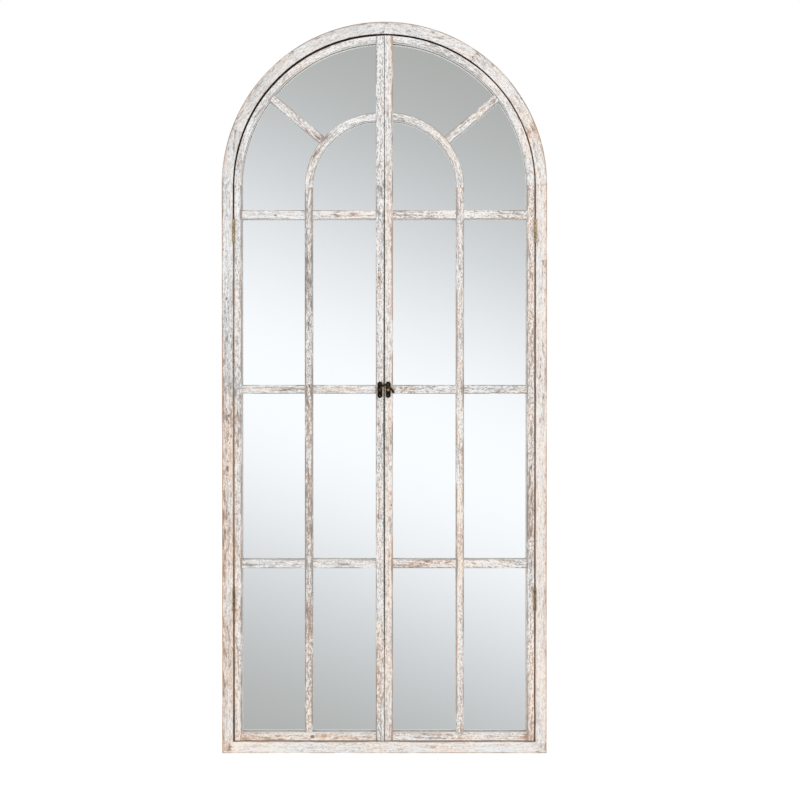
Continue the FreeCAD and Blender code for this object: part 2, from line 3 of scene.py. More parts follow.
import bmesh
import bpy
import numpy as np
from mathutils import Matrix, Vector

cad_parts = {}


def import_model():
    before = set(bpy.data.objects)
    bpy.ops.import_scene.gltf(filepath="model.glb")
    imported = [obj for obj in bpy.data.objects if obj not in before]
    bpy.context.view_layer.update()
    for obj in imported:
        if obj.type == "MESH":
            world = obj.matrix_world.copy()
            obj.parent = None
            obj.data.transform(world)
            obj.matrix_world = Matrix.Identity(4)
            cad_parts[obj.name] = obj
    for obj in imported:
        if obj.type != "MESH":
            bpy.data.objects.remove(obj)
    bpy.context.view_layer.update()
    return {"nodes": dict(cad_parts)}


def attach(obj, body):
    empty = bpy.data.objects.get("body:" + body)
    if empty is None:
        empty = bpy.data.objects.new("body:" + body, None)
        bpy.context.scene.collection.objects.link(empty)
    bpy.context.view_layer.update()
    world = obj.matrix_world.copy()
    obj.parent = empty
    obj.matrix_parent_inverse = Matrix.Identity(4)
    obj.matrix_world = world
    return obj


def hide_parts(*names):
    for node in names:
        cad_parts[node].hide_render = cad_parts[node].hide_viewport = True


# Arched window mirror. Everything is in metres in the row frame; the numbers
# in the member list below are millimetres, as in the CAD source.

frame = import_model()
NODES = frame["nodes"]
MM = 0.001

# ---------------------------------------------------------------- CAD sizes
H, SPRING, FACE, RAIL = 400.0, 1400.0, 28.0, 29.0
FRONT, REBATE_Y, BACK = -16.0, 5.5, 12.0
INNER = H - FACE
REBATE = INNER + 9.0
LEDGE = RAIL * (H - REBATE) / FACE
ARCH_JOINTS = (0.0, 20.0, 55.0, 90.0, 125.0, 160.0, 180.0)
X0, X1, X2, X3 = 0.9, 21.25, 350.0, 369.0
ZB, ZR, DSPRING, DBACK = 31.5, 51.5, 1398.0, -1.0
MIDY = (FRONT + DBACK) / 2.0
BARS = (("lower", 467.5), ("middle", 897.0), ("upper", 1326.5))
M0, M1 = 176.0, 196.0
CX, CZ = 12.07, 1393.07
RI0, RI1 = M0 - CX, M1 - CX
SPOKE_Z, SPOKE_A, SPOKE_HALF = 1381.0, math.radians(40.0), 10.0
HINGE_X, HINGE_Y, HINGE_LEN = 370.5, -17.5, 55.0
HINGE_Z = (379.5, 1286.0)
HANGER_X, HANGER_ENTRY = 390.5, 1323.0


# -------------------------------------------------------------------- noise
def _hash(i, j, k, seed):
    h = (i * 374761393 + j * 668265263 + k * 1442695041 + seed * 1274126177) & 0xFFFFFFFF
    h = ((h ^ (h >> 13)) * 1274126177) & 0xFFFFFFFF
    h = ((h ^ (h >> 16)) * 974634777) & 0xFFFFFFFF
    return ((h >> 8) & 0xFFFFFF) / float(0xFFFFFF)


def noise3(x, y, z, seed=0):
    """Smooth value noise from 0 to 1, the same on each run."""
    x, y, z = np.broadcast_arrays(np.asarray(x, float), np.asarray(y, float), np.asarray(z, float))
    fx, fy, fz = np.floor(x), np.floor(y), np.floor(z)
    i, j, k = fx.astype(np.int64), fy.astype(np.int64), fz.astype(np.int64)
    a, b, c = x - fx, y - fy, z - fz
    a, b, c = (t * t * (3 - 2 * t) for t in (a, b, c))
    out = np.zeros(x.shape)
    for p in (0, 1):
        for q in (0, 1):
            for r in (0, 1):
                w = (a if p else 1 - a) * (b if q else 1 - b) * (c if r else 1 - c)
                out += w * _hash(i + p, j + q, k + r, seed)
    return out


def noise1(s, scale, seed):
    return noise3(np.asarray(s, float) / scale, 0.37, 0.61, seed)


def ramp(x, a, b):
    """0 below a, 1 above b, smooth between (a may be the larger)."""
    t = np.clip((np.asarray(x, float) - a) / (b - a), 0, 1)
    return t * t * (3 - 2 * t)


def hexes(text):
    n = 7
    for ch in text:
        n = (n * 131 + ord(ch)) % 1000003
    return n


# ------------------------------------------------------- where members stand
class Upright:
    """A straight vertical member: s is z, u is the distance from the middle line."""

    def __init__(self, side):
        self.side = side

    def place(self, s, u, v):
        return self.side * u, v, s

    def local(self, x, y, z):
        return z, self.side * x, y

    def grain(self, s, u, v):
        return s, u


class Level:
    """A straight level member: s is the distance from the middle line, u is z."""

    def __init__(self, side):
        self.side = side

    def place(self, s, u, v):
        return self.side * s, v, u

    def local(self, x, y, z):
        return self.side * x, z, y

    def grain(self, s, u, v):
        return s, u


class Round:
    """A curved member: s is the angle in radians, u the distance from (cx, cz)."""

    def __init__(self, side, cx, cz, chord=None):
        self.side, self.cx, self.cz, self.chord = side, cx, cz, chord

    def place(self, s, u, v):
        return self.side * (self.cx + u * np.cos(s)), v, self.cz + u * np.sin(s)

    def local(self, x, y, z):
        dx, dz = self.side * x - self.cx, z - self.cz
        return np.arctan2(dz, dx), np.hypot(dx, dz), y

    def grain(self, s, u, v):
        if self.chord is None:
            return s * 0.5 * (RI1 + u), u
        # sawn from a straight board: the grain runs along the chord
        a = s - self.chord
        return u * np.sin(a), u * np.cos(a)


class Slanted:
    """The spoke: s runs out along it, u is square to it."""

    def __init__(self, side):
        self.side = side
        self.c, self.s = math.cos(SPOKE_A), math.sin(SPOKE_A)

    def place(self, s, u, v):
        return self.side * (s * self.c - u * self.s), v, SPOKE_Z + s * self.s + u * self.c

    def local(self, x, y, z):
        dx, dz = self.side * x, z - SPOKE_Z
        return dx * self.c + dz * self.s, -dx * self.s + dz * self.c, y

    def grain(self, s, u, v):
        return s, u


# ------------------------------------------------------------ listed wear
# (x, z, half width, half height, amount), millimetres on the front: where more
# wood shows through the whitewash (amount > 0) or the coat is thick (< 0)
WEAR = [
    (-186, 1120, 14, 150, .42), (-186, 860, 14, 60, .32), (-186, 620, 14, 130, .36), (-186, 360, 14, 90, .24),
    (186, 1060, 12, 120, .10), (192, 700, 8, 200, .20), (190, 260, 9, 120, .12),
    (-262, 897, 90, 14, .26), (-90, 897, 70, 10, .12), (90, 897, 60, 14, .30), (270, 897, 70, 12, .16),
    (-300, 467, 50, 12, .18), (-100, 467, 60, 12, .20), (110, 467, 60, 12, .26), (280, 467, 60, 12, .30),
    (-280, 1326, 40, 12, .30), (-84, 1330, 56, 9, .42), (-19.5, 893, 4, 16, .9), (60, 1326, 50, 12, .22), (300, 1326, 40, 12, .34),
    (-170, 1440, 20, 60, .62), (-148, 1512, 18, 18, .5), (-120, 1536, 30, 26, .16), (166, 1440, 20, 40, .14), (60, 1575, 40, 16, .22),
    (262, 1602, 60, 12, .30), (-250, 1590, 30, 12, -.20), (-300, 1632, 20, 14, .22),
    (-392, 540, 10, 300, .28), (-386, 300, 16, 160, .14), (392, 430, 8, 330, .20), (388, 1150, 12, 220, .12),
    (-378, 1000, 12, 150, .10), (-384, 1180, 16, 120, -.14), (384, 600, 12, 160, -.16), (384, 180, 14, 130, -.10),
    (-360, 820, 12, 160, .22), (-360, 320, 10, 220, .12), (360, 980, 12, 160, .20), (360, 560, 12, 140, .22),
    (360, 1240, 12, 80, .16), (-360, 1180, 12, 90, .10),
    (-12, 1450, 10, 160, .10), (-12, 640, 10, 160, .22), (12, 1250, 10, 200, .18), (12, 760, 10, 60, .30),
    (12, 470, 10, 120, .14), (-12, 250, 10, 140, .20), (12, 200, 10, 120, .10),
    (-262, 37, 66, 5, .45), (-104, 38, 52, 5, .38), (40, 1757, 40, 14, -.35), (360, 660, 8, 110, .35), (361, 500, 8, 40, -.30),
    (-360, 120, 10, 110, -.40), (12, 170, 9, 130, -.45), (360, 200, 9, 150, -.15), (-19, 250, 3, 180, .25), (-183, 330, 8, 60, .45), (120, 41, 60, 9, .14), (280, 41, 60, 9, .22),
    (-300, 12, 90, 12, -.10), (-110, 10, 100, 12, -.06), (230, 14, 190, 16, -.26), (0, 8, 60, 8, .10),
    (-381, 15, 7, 8, 1.1), (380, 10, 12, 12, .34), (-366, 19, 9, 9, -.9), (348, 38, 12, 8, .42),
    (-352, 1600, 30, 60, .10), (-210, 1738, 60, 30, -.10), (150, 1770, 60, 18, .20), (330, 1620, 26, 50, .16),
    (245, 1700, 30, 26, .20), (368, 1532, 16, 16, .22), (396, 1510, 6, 50, .26),
]
# the same, for small dark specks
SPECKS = [
    (-386, 1300, 12, 150, .35), (-386, 1075, 12, 70, .9), (-384, 800, 7, 90, 1.5), (-386, 620, 12, 90, .45),
    (-12, 1170, 9, 70, 1.0), (-12, 1280, 9, 60, .55), (-12, 740, 9, 90, 1.0), (-12, 480, 9, 90, .5),
    (-12, 1560, 9, 90, .4), (12, 660, 9, 90, .45), (12, 900, 9, 60, .35),
    (-186, 1180, 10, 90, .75), (-186, 980, 10, 120, .8), (-186, 700, 10, 90, .5), (-186, 500, 10, 100, .6),
    (-186, 220, 10, 90, .35), (186, 600, 9, 120, .3),
    (-262, 897, 70, 9, .7), (-262, 1326, 60, 9, .35), (90, 897, 60, 9, .6), (270, 897, 60, 9, .5),
    (110, 467, 60, 9, .6), (-100, 467, 70, 9, .3), (280, 1326, 60, 9, .7),
    (-270, 1600, 60, 30, .5), (270, 1610, 60, 30, .45), (-166, 1470, 16, 60, .6), (-60, 1570, 50, 16, .4),
    (-250, 41, 80, 8, .55), (-60, 41, 60, 8, .5), (150, 41, 80, 8, .35),
    (-340, 1580, 30, 90, .35), (-120, 1765, 110, 20, .3), (330, 1600, 30, 90, .25),
    (360, 900, 8, 200, .35), (-360, 900, 8, 200, .35),
]
# knots, filled holes and nail heads: x, z, half length, half height, kind
# (1 dark knot, 2 tan knot, 3 nail hole)
KNOTS = [
    (-177.0, 41.6, 6.5, 4.6, 1.0), (-149.0, 43.0, 9.6, 7.0, 2.0), (17.0, 612.0, 2.2, 2.6, 3.0),
    (-386.0, 702.0, 4.0, 9.0, 1.0), (-388.0, 1120.0, 3.0, 5.0, 1.0), (383.0, 820.0, 3.2, 8.0, 2.0),
    (187.0, 330.0, 3.2, 7.0, 2.0), (-184.5, 905.0, 2.6, 5.0, 1.0), (361.0, 705.0, 2.6, 6.0, 1.0),
    (-268.0, 1325.0, 5.0, 3.0, 1.0), (222.0, 468.0, 6.0, 3.4, 2.0), (-12.0, 1170.0, 2.0, 8.0, 1.0),
    (120.0, 15.0, 9.0, 4.0, 2.0), (-284.0, 1678.0, 5.0, 4.0, 2.0), (-300.0, 120.0, 1.0, 1.0, 3.0),
]


# each member's whitewash: level (more or less paint), contrast, hue (0 grey, 1 tan) and fleck (short dark marks against
# long streaks); the right-hand members are set more tan than the left
COAT = {
    "frame_jamb_left": (-.05, .92, .17, .80), "frame_jamb_right": (.20, .90, .35, .70),
    "frame_rail": (.24, .72, .29, .90),
    "frame_arch_lower_left": (-.04, .70, .09, .70), "frame_arch_middle_left": (-.02, .66, .09, .70),
    "frame_arch_upper_left": (.07, .72, .09, .70), "frame_arch_lower_right": (.17, 1.00, .21, .80),
    "frame_arch_middle_right": (.17, 1.00, .19, .80), "frame_arch_upper_right": (.19, .95, .17, .80),
    "hinge_stile_left": (.02, 1.12, .18, .95), "hinge_stile_right": (.00, 1.60, .40, 1.10),
    "meeting_stile_left": (.06, 1.10, .10, 1.30), "meeting_stile_right": (.03, 1.15, .40, .80),
    "bottom_rail_left": (.06, 1.35, .40, .75), "bottom_rail_right": (.14, 1.70, .42, .65),
    "arch_rail_left": (.10, 1.10, .08, .95), "arch_rail_right": (.05, 1.25, .10, .95),
    "muntin_left": (-.12, 1.20, .18, 1.35), "muntin_right": (.07, 1.40, .40, .95),
    "inner_arch_left": (.22, .95, .12, 1.20), "inner_arch_right": (.20, 1.05, .10, 1.00),
    "spoke_left": (.04, .95, .10, 1.20), "spoke_right": (.10, .95, .14, 1.20),
}
for _side, _level, _contrast, _hue in (("left", .13, .92, .11), ("right", .10, 1.85, .22)):
    for _bar in ("lower", "middle", "upper"):
        COAT["cross_bar_%s_%s" % (_bar, _side)] = (_level, _contrast, _hue, .85)
# where the tone turns to tan (+) or grey (-): x, z, half width, half height, amount
TONE = [
    (-390, 420, 22, 330, .55), (-240, 16, 200, 30, .26), (394, 380, 12, 380, .30), (-360, 420, 12, 330, .20),
    (186, 560, 14, 200, .22), (-186, 560, 14, 330, .16), (-386, 1250, 30, 300, -.15), (300, 1600, 60, 60, -.10),
    (372, 1530, 22, 26, .9), (-84, 1326, 60, 12, .3), (-170, 1440, 26, 70, .3), (-350, 40, 26, 10, .5), (-262, 37, 70, 6, .5), (-104, 38, 56, 6, .5), (-381, 15, 9, 9, 1.0), (348, 38, 20, 10, .8), (100, 470, 60, 12, .25),
    (-12, 190, 14, 190, .40), (12, 190, 14, 190, .20), (-360, 120, 12, 110, .15),
]
# where the rubbed arrises show orange-brown wood
WARM = [
    (-400, 380, 14, 400, .85), (400, 700, 12, 900, .50), (-370, 380, 8, 440, .60), (370, 600, 10, 800, .25),
    (-400, 1100, 10, 260, .15), (0, 0, 400, 6, .25), (-300, 30, 120, 8, .30), (300, 30, 120, 8, .20),
]
# short diagonal sanding strokes
STROKES = [
    (-330, 1610, 70, 130, 1.0), (-386, 1430, 20, 80, .8), (-200, 1740, 90, 60, .7), (60, 1788, 120, 20, .35),
    (330, 1610, 70, 120, .45), (-366, 22, 26, 22, 1.0), (-150, 1480, 50, 60, .8), (150, 1500, 60, 80, .4),
    (386, 1300, 14, 120, .3), (-386, 1180, 14, 200, .3), (-250, 1610, 60, 60, .4),
]


def field(spots, x, z):
    out = np.zeros(np.shape(x))
    for cx, cz, rx, rz, amount in spots:
        out += amount * np.exp(-((x - cx) / rx) ** 2 - ((z - cz) / rz) ** 2)
    return out


# ------------------------------------------------------------------- members
ARC_STEPS = 4


class Member:
    """A wooden member: a closed section swept from s0(u, v) to s1(u, v).

    corners are (u, v, arris radius). Each corner's radius shrinks where another
    member butts against it (flush), and grows in worn places."""

    def __init__(self, name, node, body, where, corners, s0, s1, flush=(), bare=None,
                 step=6.0, ref=None, marks=(), worn=1.0, rub=None, bow=None, inset=()):
        self.name, self.node, self.body, self.where = name, node, body, where
        self.corners, self.s0, self.s1, self.flush = corners, s0, s1, flush
        self.bare, self.step, self.marks, self.worn = bare, step, marks, worn
        self.ref = ref or 1.0     # millimetres for one unit of s
        self.rub = rub or {}      # how far each arris is rubbed, 1 unless it says otherwise
        self.inset = inset        # arrises whose rubbed line lies a little way in
        self.bow = bow            # (corners, how far they move out along u at each s in millimetres)
        self.seed = hexes(name)

    def radius(self, c, s):
        """Arris radius of corner c at each s (in millimetres along the member)."""
        base = self.corners[c][2]
        if base < 0.5:
            return np.full(np.shape(s), base)
        r = base * (0.72 + 0.62 * noise1(s, 31.0, self.seed + 17 * c))
        r += 0.8 * self.worn * ramp(noise1(s, 9.0, self.seed + 29 * c), 0.72, 0.98)
        r += 1.1 * self.worn * ramp(noise1(s, 23.0, self.seed + 53 * c), 0.80, 1.0)
        for corner, a, b in self.flush:
            if corner == c:
                inside = ramp(s, a - 4.0, a - 0.5) * (1 - ramp(s, b + 0.5, b + 4.0))
                r = r * (1 - inside) + 0.22 * inside
        return r

    def moved(self, c, s):
        if self.bow is None or c not in self.bow[0]:
            return np.zeros(np.shape(s))
        return self.bow[1](s)

    def section(self, s):
        """Arrays of shape (len(s), points) round the section: u and v, the way outwards,
        and the u and v where the surface's unevenness is read."""
        P = np.array([c[:2] for c in self.corners])
        n = len(P)
        nxt = np.roll(P, -1, 0) - P
        ln = np.hypot(nxt[:, 0], nxt[:, 1])
        dn = nxt / ln[:, None]
        dp = -np.roll(dn, 1, 0)
        rad = [self.radius(c, s) for c in range(n)]
        at = [P[c, 0] + self.moved(c, s) for c in range(n)]
        area = 0.5 * np.sum(P[:, 0] * np.roll(P[:, 1], -1) - np.roll(P[:, 0], -1) * P[:, 1])
        us, vs, nu, nv, pu, pv = [], [], [], [], [], []
        sign = 1 if area > 0 else -1
        face = [np.array([d[1], -d[0]]) * sign for d in dn]      # each flat's outward side
        one = np.ones(len(s))
        for c in range(n):
            # an arris moves as a whole, with both of its faces
            push = face[c - 1] + face[c]
            for k in range(ARC_STEPS + 1):
                a = 0.5 * math.pi * k / ARC_STEPS
                off = dp[c] + dn[c] - (math.cos(a) * dn[c] + math.sin(a) * dp[c])
                us.append(at[c] + off[0] * rad[c])
                vs.append(P[c, 1] + off[1] * rad[c])
                nu.append(one * push[0])
                nv.append(one * push[1])
                pu.append(one * P[c, 0])
                pv.append(one * P[c, 1])
            e = (c + 1) % n
            a0 = np.stack([at[c], P[c, 1] * one], 1) + dn[c][None, :] * rad[c][:, None]
            a1 = np.stack([at[e], P[e, 1] * one], 1) - dn[c][None, :] * rad[e][:, None]
            count = max(2, int(round((ln[c] - 4.0) / 4.5)))
            near, next_ = 1.3 / ln[c], 2.7 / ln[c]
            fr = [near] + list(np.linspace(next_, 1 - next_, max(1, count - 1) + 1)) + [1 - near]
            for f in fr:
                pt = a0 * (1 - f) + a1 * f
                us.append(pt[:, 0])
                vs.append(pt[:, 1])
                nu.append(one * face[c][0])
                nv.append(one * face[c][1])
                pu.append(pt[:, 0])
                pv.append(pt[:, 1])
        return [np.array(q).T for q in (us, vs, nu, nv, pu, pv)]

    def stations(self, lo, hi):
        length = (hi - lo) * self.ref
        pts = {0.0, length}
        pts |= set(np.linspace(0, length, max(2, int(round(length / self.step))) + 1))
        pts |= {1.2, 3.0, length - 1.2, length - 3.0}
        for corner, a, b in self.flush:
            for q in (a - 4.0, a - 0.5, a + 1.5, b - 1.5, b + 0.5, b + 4.0):
                pts.add(q - lo * self.ref)
        pts = sorted(q for q in pts if -1e-6 <= q <= length + 1e-6)
        keep = [pts[0]]
        for q in pts[1:]:
            if q - keep[-1] > 0.45:
                keep.append(q)
        keep[-1] = length
        return np.array(keep) / length

    def build(self):
        u_mid = np.mean([c[0] for c in self.corners])
        lo = float(np.min([self.s0(np.array([c[0]]), np.array([c[1]])) for c in self.corners]))
        hi = float(np.max([self.s1(np.array([c[0]]), np.array([c[1]])) for c in self.corners]))
        t = self.stations(lo, hi)
        s_mm = (lo + t * (hi - lo)) * self.ref
        u, v, nu, nv, pu, pv = self.section(s_mm)
        a, b = self.s0(u, v), self.s1(u, v)
        s = a + t[:, None] * (b - a)
        # hand-planed and sanded wood: shallow waves and dents, never proud of the CAD face
        S = s * self.ref
        d = 0.20 * noise3(S / 60.0, pu / 22.0, pv / 22.0, self.seed)
        d += 0.16 * noise3(S / 17.0, pu / 7.0, pv / 7.0, self.seed + 5)
        d += 0.45 * self.worn * ramp(noise3(S / 14.0, pu / 5.0, pv / 6.0, self.seed + 9), 0.80, 1.0)
        d *= ramp(pv, BACK - 0.1, BACK - 1.0)
        u = u - nu * d
        v = v - nv * d
        x, y, z = self.where.place(s, u, v)
        n, k = u.shape
        co = np.stack(np.broadcast_arrays(x, y, z), -1).reshape(-1, 3) * MM
        faces = []
        for i in range(n - 1):
            p, q = i * k, (i + 1) * k
            for j in range(k):
                m = (j + 1) % k
                faces.append((p + j, p + m, q + m, q + j))
        faces.append(tuple(range(k - 1, -1, -1)))
        faces.append(tuple(range((n - 1) * k, n * k)))
        mesh = bpy.data.meshes.new(self.name)
        mesh.from_pydata(co.tolist(), [], faces)
        bm = bmesh.new()
        bm.from_mesh(mesh)
        bmesh.ops.recalc_face_normals(bm, faces=bm.faces)
        bm.to_mesh(mesh)
        bm.free()
        self.obj = bpy.data.objects.new(self.name, mesh)
        bpy.context.scene.collection.objects.link(self.obj)
        return self.obj

    def paint(self):
        """Writes the attributes that the whitewash material reads, from where each vertex is."""
        mesh = self.obj.data
        co = np.zeros(len(mesh.vertices) * 3)
        mesh.vertices.foreach_get("co", co)
        x, y, z = co.reshape(-1, 3).T / MM
        s, u, v = self.where.local(x, y, z)
        ga, gb = self.where.grain(s, u, v)
        if self.where.__class__ is Round and self.where.chord is None:
            ga = s * self.ref
        rnd = [noise1(np.array([7.3 * q]), 1.0, self.seed + q)[0] for q in (1, 2, 3, 4)]
        grain = np.stack([ga + 900 * rnd[0], gb + 700 * rnd[1], v + 500 * rnd[2]], -1) * MM
        edge = np.zeros(len(x))
        P = np.array([c[:2] for c in self.corners])
        for c, (cu, cv, r) in enumerate(self.corners):
            k = self.rub.get(c, 1.0 if cv < FRONT + 1 else (.45 if self.body == "frame" else 0.0))
            if r > 0.5:
                off = np.hypot(u - cu - self.moved(c, s * self.ref), v - cv)
                if c in self.inset:
                    edge = np.maximum(edge, k * np.exp(-(np.abs(off - 2.0) / 1.7) ** 1.6))
                else:
                    edge = np.maximum(edge, k * np.exp(-(off / 2.5) ** 1.4))
        wear = field(WEAR, x, z)
        speck = field(SPECKS, x, z)
        flank = np.zeros(len(x))
        if self.body != "frame":
            # the sides of a lattice member are never rubbed down, and take a thicker coat as painted light for the
            # light the mirror throws back onto them; its back took less paint
            behind = ramp(v, FRONT + 1.1, FRONT + 2.2)
            back = ramp(v, DBACK - 0.6, DBACK - 0.1)
            flank = behind * (1 - back)
            wear = wear * (1 - behind) - .60 * flank - .15 * back
            speck = speck * (1 - behind) + .12 * back
            edge = edge * (1 - behind)
        out = self.bow[1](s * self.ref) if self.bow else 0.0
        bare = self.bare(s, u - out, v) if self.bare else np.zeros(len(x))
        bare = np.maximum(bare, 0.55 * ramp(v, BACK - 0.6, BACK - 0.1))
        # the ends of a member and its joints lose paint first
        for s_at, amount, width in self.marks:
            wear = wear + amount * np.exp(-(((s * self.ref) - s_at) / width) ** 2)
        level, contrast, hue, fleck = COAT[self.name[5:]]
        tone = hue + field(TONE, x, z) + .35 * (noise3(x / 90, z / 160, 0.5, 77) - .5)
        # painted light: the level is raised and the contrast lowered on the lattice sides, making them whiter
        coat = np.stack([level + .50 * flank, contrast * (1 - .6 * flank), np.clip(tone, 0, 1)], -1)
        # painted light: where the lattice sides keep their paint they are marked to be mixed to near white
        reveal = flank * (1 - ramp(bare, .1, .4))
        warm = field(WARM, x, z)
        if self.body == "frame" and self.name != "wood_frame_rail":
            # the frame's outer edge: the warm field tints it as rubbed tan wood, and the broad extra wear darkens it as
            # painted shade of the rounded outer arris
            rim = np.exp(-((H - u) / 7.0) ** 2)
            wear = wear + .30 * rim * (v < FRONT + 2)
            warm = warm + .40 * rim
        # painted shade and painted light in the gap: how far the gap-side stain is darkened, nearly black round the
        # arch where the gap is in shade; below zero it is lightened instead
        turn = np.degrees(np.arctan2(z - SPRING, x))
        dark = np.where(x > 0, ramp(turn, 12, 62), ramp(z, 1300, 1365))
        # painted shade added low on the left jamb and in the middle of the right side, and painted light along the
        # bottom and up the middle of the left jamb
        dark = dark + .9 * ramp(z, 130, 86) * ramp(x, -350, -366) - .75 * ramp(z, 50, 36) * ramp(np.abs(x), 366, 350) - .95 * (x < 0) * ramp(z, 440, 600) * ramp(z, 1330, 1200)
        dark = dark + .22 * (x > 0) * ramp(z, 1150, 1050) * ramp(z, 680, 780)
        if self.body == "frame":
            dark = dark * (1 - ramp(v, BACK - 1.5, BACK - 0.5))
        strokes = field(STROKES, x, z)
        knot = np.full((len(x), 3), 30.0)
        knot[:, 2] = 0.0
        best = np.full(len(x), 1e9)
        for kx, kz, rx, rz, kind in KNOTS:
            if not self.holds(kx, kz):
                continue
            dist = np.hypot(x - kx, z - kz)
            near = (dist < best) & (dist < 26) & (v < FRONT + 6)
            best[near] = dist[near]
            knot[near, 0] = ((x - kx) / rx)[near]
            knot[near, 1] = ((z - kz) / rz)[near]
            knot[near, 2] = kind
        for name, kind, data in (("grain", "FLOAT_VECTOR", grain), ("edge", "FLOAT", edge),
                                 ("wear", "FLOAT", wear), ("speck", "FLOAT", speck), ("bare", "FLOAT", bare),
                                 ("coat", "FLOAT_VECTOR", coat), ("strokes", "FLOAT", strokes),
                                 ("knot", "FLOAT_VECTOR", knot), ("warm", "FLOAT", warm),
                                 ("dark", "FLOAT", dark), ("reveal", "FLOAT", reveal),
                                 ("fleck", "FLOAT", np.full(len(x), fleck))):
            att = mesh.attributes.new(name, kind, "POINT")
            att.data.foreach_set("vector" if kind == "FLOAT_VECTOR" else "value",
                                 np.asarray(data, np.float32).ravel())
        for p in mesh.polygons:
            p.use_smooth = True
        bm = bmesh.new()
        bm.from_mesh(mesh)
        for e in bm.edges:
            if len(e.link_faces) == 2 and e.calc_face_angle(0.0) > math.radians(34):
                e.smooth = False
        bm.to_mesh(mesh)
        bm.free()
        mesh.materials.clear()
        mesh.materials.append(WOOD)
        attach(self.obj, self.body)
        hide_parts(self.node)

    def holds(self, x, z):
        s, u, v = self.where.local(np.array([x]), 0.0, np.array([z]))
        us = [c[0] for c in self.corners]
        lo, hi = self.s0(u, u * 0 + FRONT), self.s1(u, u * 0 + FRONT)
        return bool((min(us) - 1 < u[0] < max(us) + 1) and (lo[0] <= s[0] <= hi[0]))


def const(value):
    return lambda u, v: np.zeros(np.broadcast(u, v).shape) + value


def circle_z(r, x, cz, cx=0.0):
    return cz + np.sqrt(np.maximum(r * r - (x - cx) ** 2, 0.0))


def along_spoke(r, cx, cz, u):
    """Where a line beside the spoke's axis, u off it, leaves the circle."""
    c, s = math.cos(SPOKE_A), math.sin(SPOKE_A)
    dx, dz = -u * s - cx, SPOKE_Z + u * c - cz
    b = dx * c + dz * s
    k = dx * dx + dz * dz - r * r
    return -b + np.sqrt(np.maximum(b * b - k, 0.0))


def rect(u0, u1, v0, v1, r=1.2):
    return [(u0, v0, r), (u1, v0, r), (u1, v1, .6), (u0, v1, .6)]


members = []


def add(*a, **k):
    members.append(Member(*a, **k))


RF = 1.7
frame_section = [(INNER, FRONT, 1.3), (H, FRONT, RF), (H, BACK, 1.4), (REBATE, BACK, .4), (REBATE, REBATE_Y, .3),
                 (INNER, REBATE_Y, .5)]
# the rail's section is turned: u is z, from the underside up to the inner face
rail_section = [(0.0, FRONT, RF), (0.0, BACK, 1.4), (LEDGE, BACK, .4), (LEDGE, REBATE_Y, .3),
                (RAIL, REBATE_Y, .5), (RAIL, FRONT, 1.3)]


def inner_face(s, u, v):
    """Faces turned to the gap round the doors carry only a brown stain."""
    return ramp(u, INNER + 1.2, INNER + 0.2) * ramp(v, FRONT + 0.6, FRONT + 2.6) * 0.95


for side, word in ((-1, "left"), (1, "right")):
    add("wood_frame_jamb_" + word, "frame_jamb_" + word, "frame", Upright(side), frame_section,
        lambda u, v: (H - u) * RAIL / FACE + 0 * v, const(SPRING - 0.1), bare=inner_face, rub={0: .8, 1: 1.35},
        marks=[(14.0, .22, 16.0), (SPRING, .25, 3.0)])
add("wood_frame_rail", "frame_bottom_rail", "frame", Level(1), rail_section,
    lambda u, v: -(H - u * FACE / RAIL) + 0 * v, lambda u, v: (H - u * FACE / RAIL) + 0 * v,
    bare=lambda s, u, v: ramp(u, RAIL - 1.2, RAIL - 0.2) * ramp(v, FRONT + 0.6, FRONT + 2.6) * 0.75
    + ramp(u, 0.9, 0.1) * 0.6,
    marks=[(-386.0, .2, 12.0), (386.0, .2, 12.0)])


def concentric(s):
    """The arch's inner face runs on the doors' centre, 2 below the spring line."""
    a = s / 386.0
    return np.sqrt(INNER ** 2 - (2 * np.cos(a)) ** 2) - 2 * np.sin(a) - INNER


ARC_NAMES = ["lower_right", "middle_right", "upper_right", "upper_left", "middle_left", "lower_left"]
for name, a0, a1 in zip(ARC_NAMES, ARCH_JOINTS[:-1], ARCH_JOINTS[1:]):
    gap = 0.10 / 386.0
    r0, r1 = math.radians(a0) + gap, math.radians(a1) - gap
    ref = 386.0
    add("wood_frame_arch_" + name, "frame_arch_" + name, "frame",
        Round(1, 0.0, SPRING, chord=(math.radians(a0 + a1) / 2)), frame_section, const(r0), const(r1),
        ref=ref, bare=inner_face, rub={0: .3, 1: 1.4}, marks=[(r0 * ref, .30, 5.0), (r1 * ref, .30, 5.0)],
        bow=((0, 5), concentric))


# the meeting edges were eased by hand in the middle of their height, and nearly meet at the ends
EASED = {
    -1: ([60, 250, 350, 600, 800, 1030, 1200, 1363, 1535, 1650], [-.35, -.2, .8, 1.1, 1.8, 1.2, .6, 0, -.25, -.4]),
    1: ([60, 250, 350, 1200, 1363, 1535, 1650], [-.35, -.2, .55, .55, 0, -.25, -.4]),
}


def eased_arch(side):
    """Distance taken off the outside of a door's arch; s is in millimetres along it."""
    def out(s):
        turn = np.degrees(s / 359.5)
        if side < 0:
            return -ramp(turn, 0, 6) - ramp(turn, 20, 48) + .3 * ramp(turn, 72, 88)
        return -.8 * ramp(turn, 35, 75) - .4 * ramp(turn, 72, 86)
    return out


def eased(side):
    return lambda s: np.interp(s, *EASED[side])


def door_side(s, u, v):
    """The door's outer edge, which faces the gap."""
    return ramp(u, X3 - 1.2, X3 - 0.2) * ramp(v, FRONT + 0.6, FRONT + 2.6) * 0.9


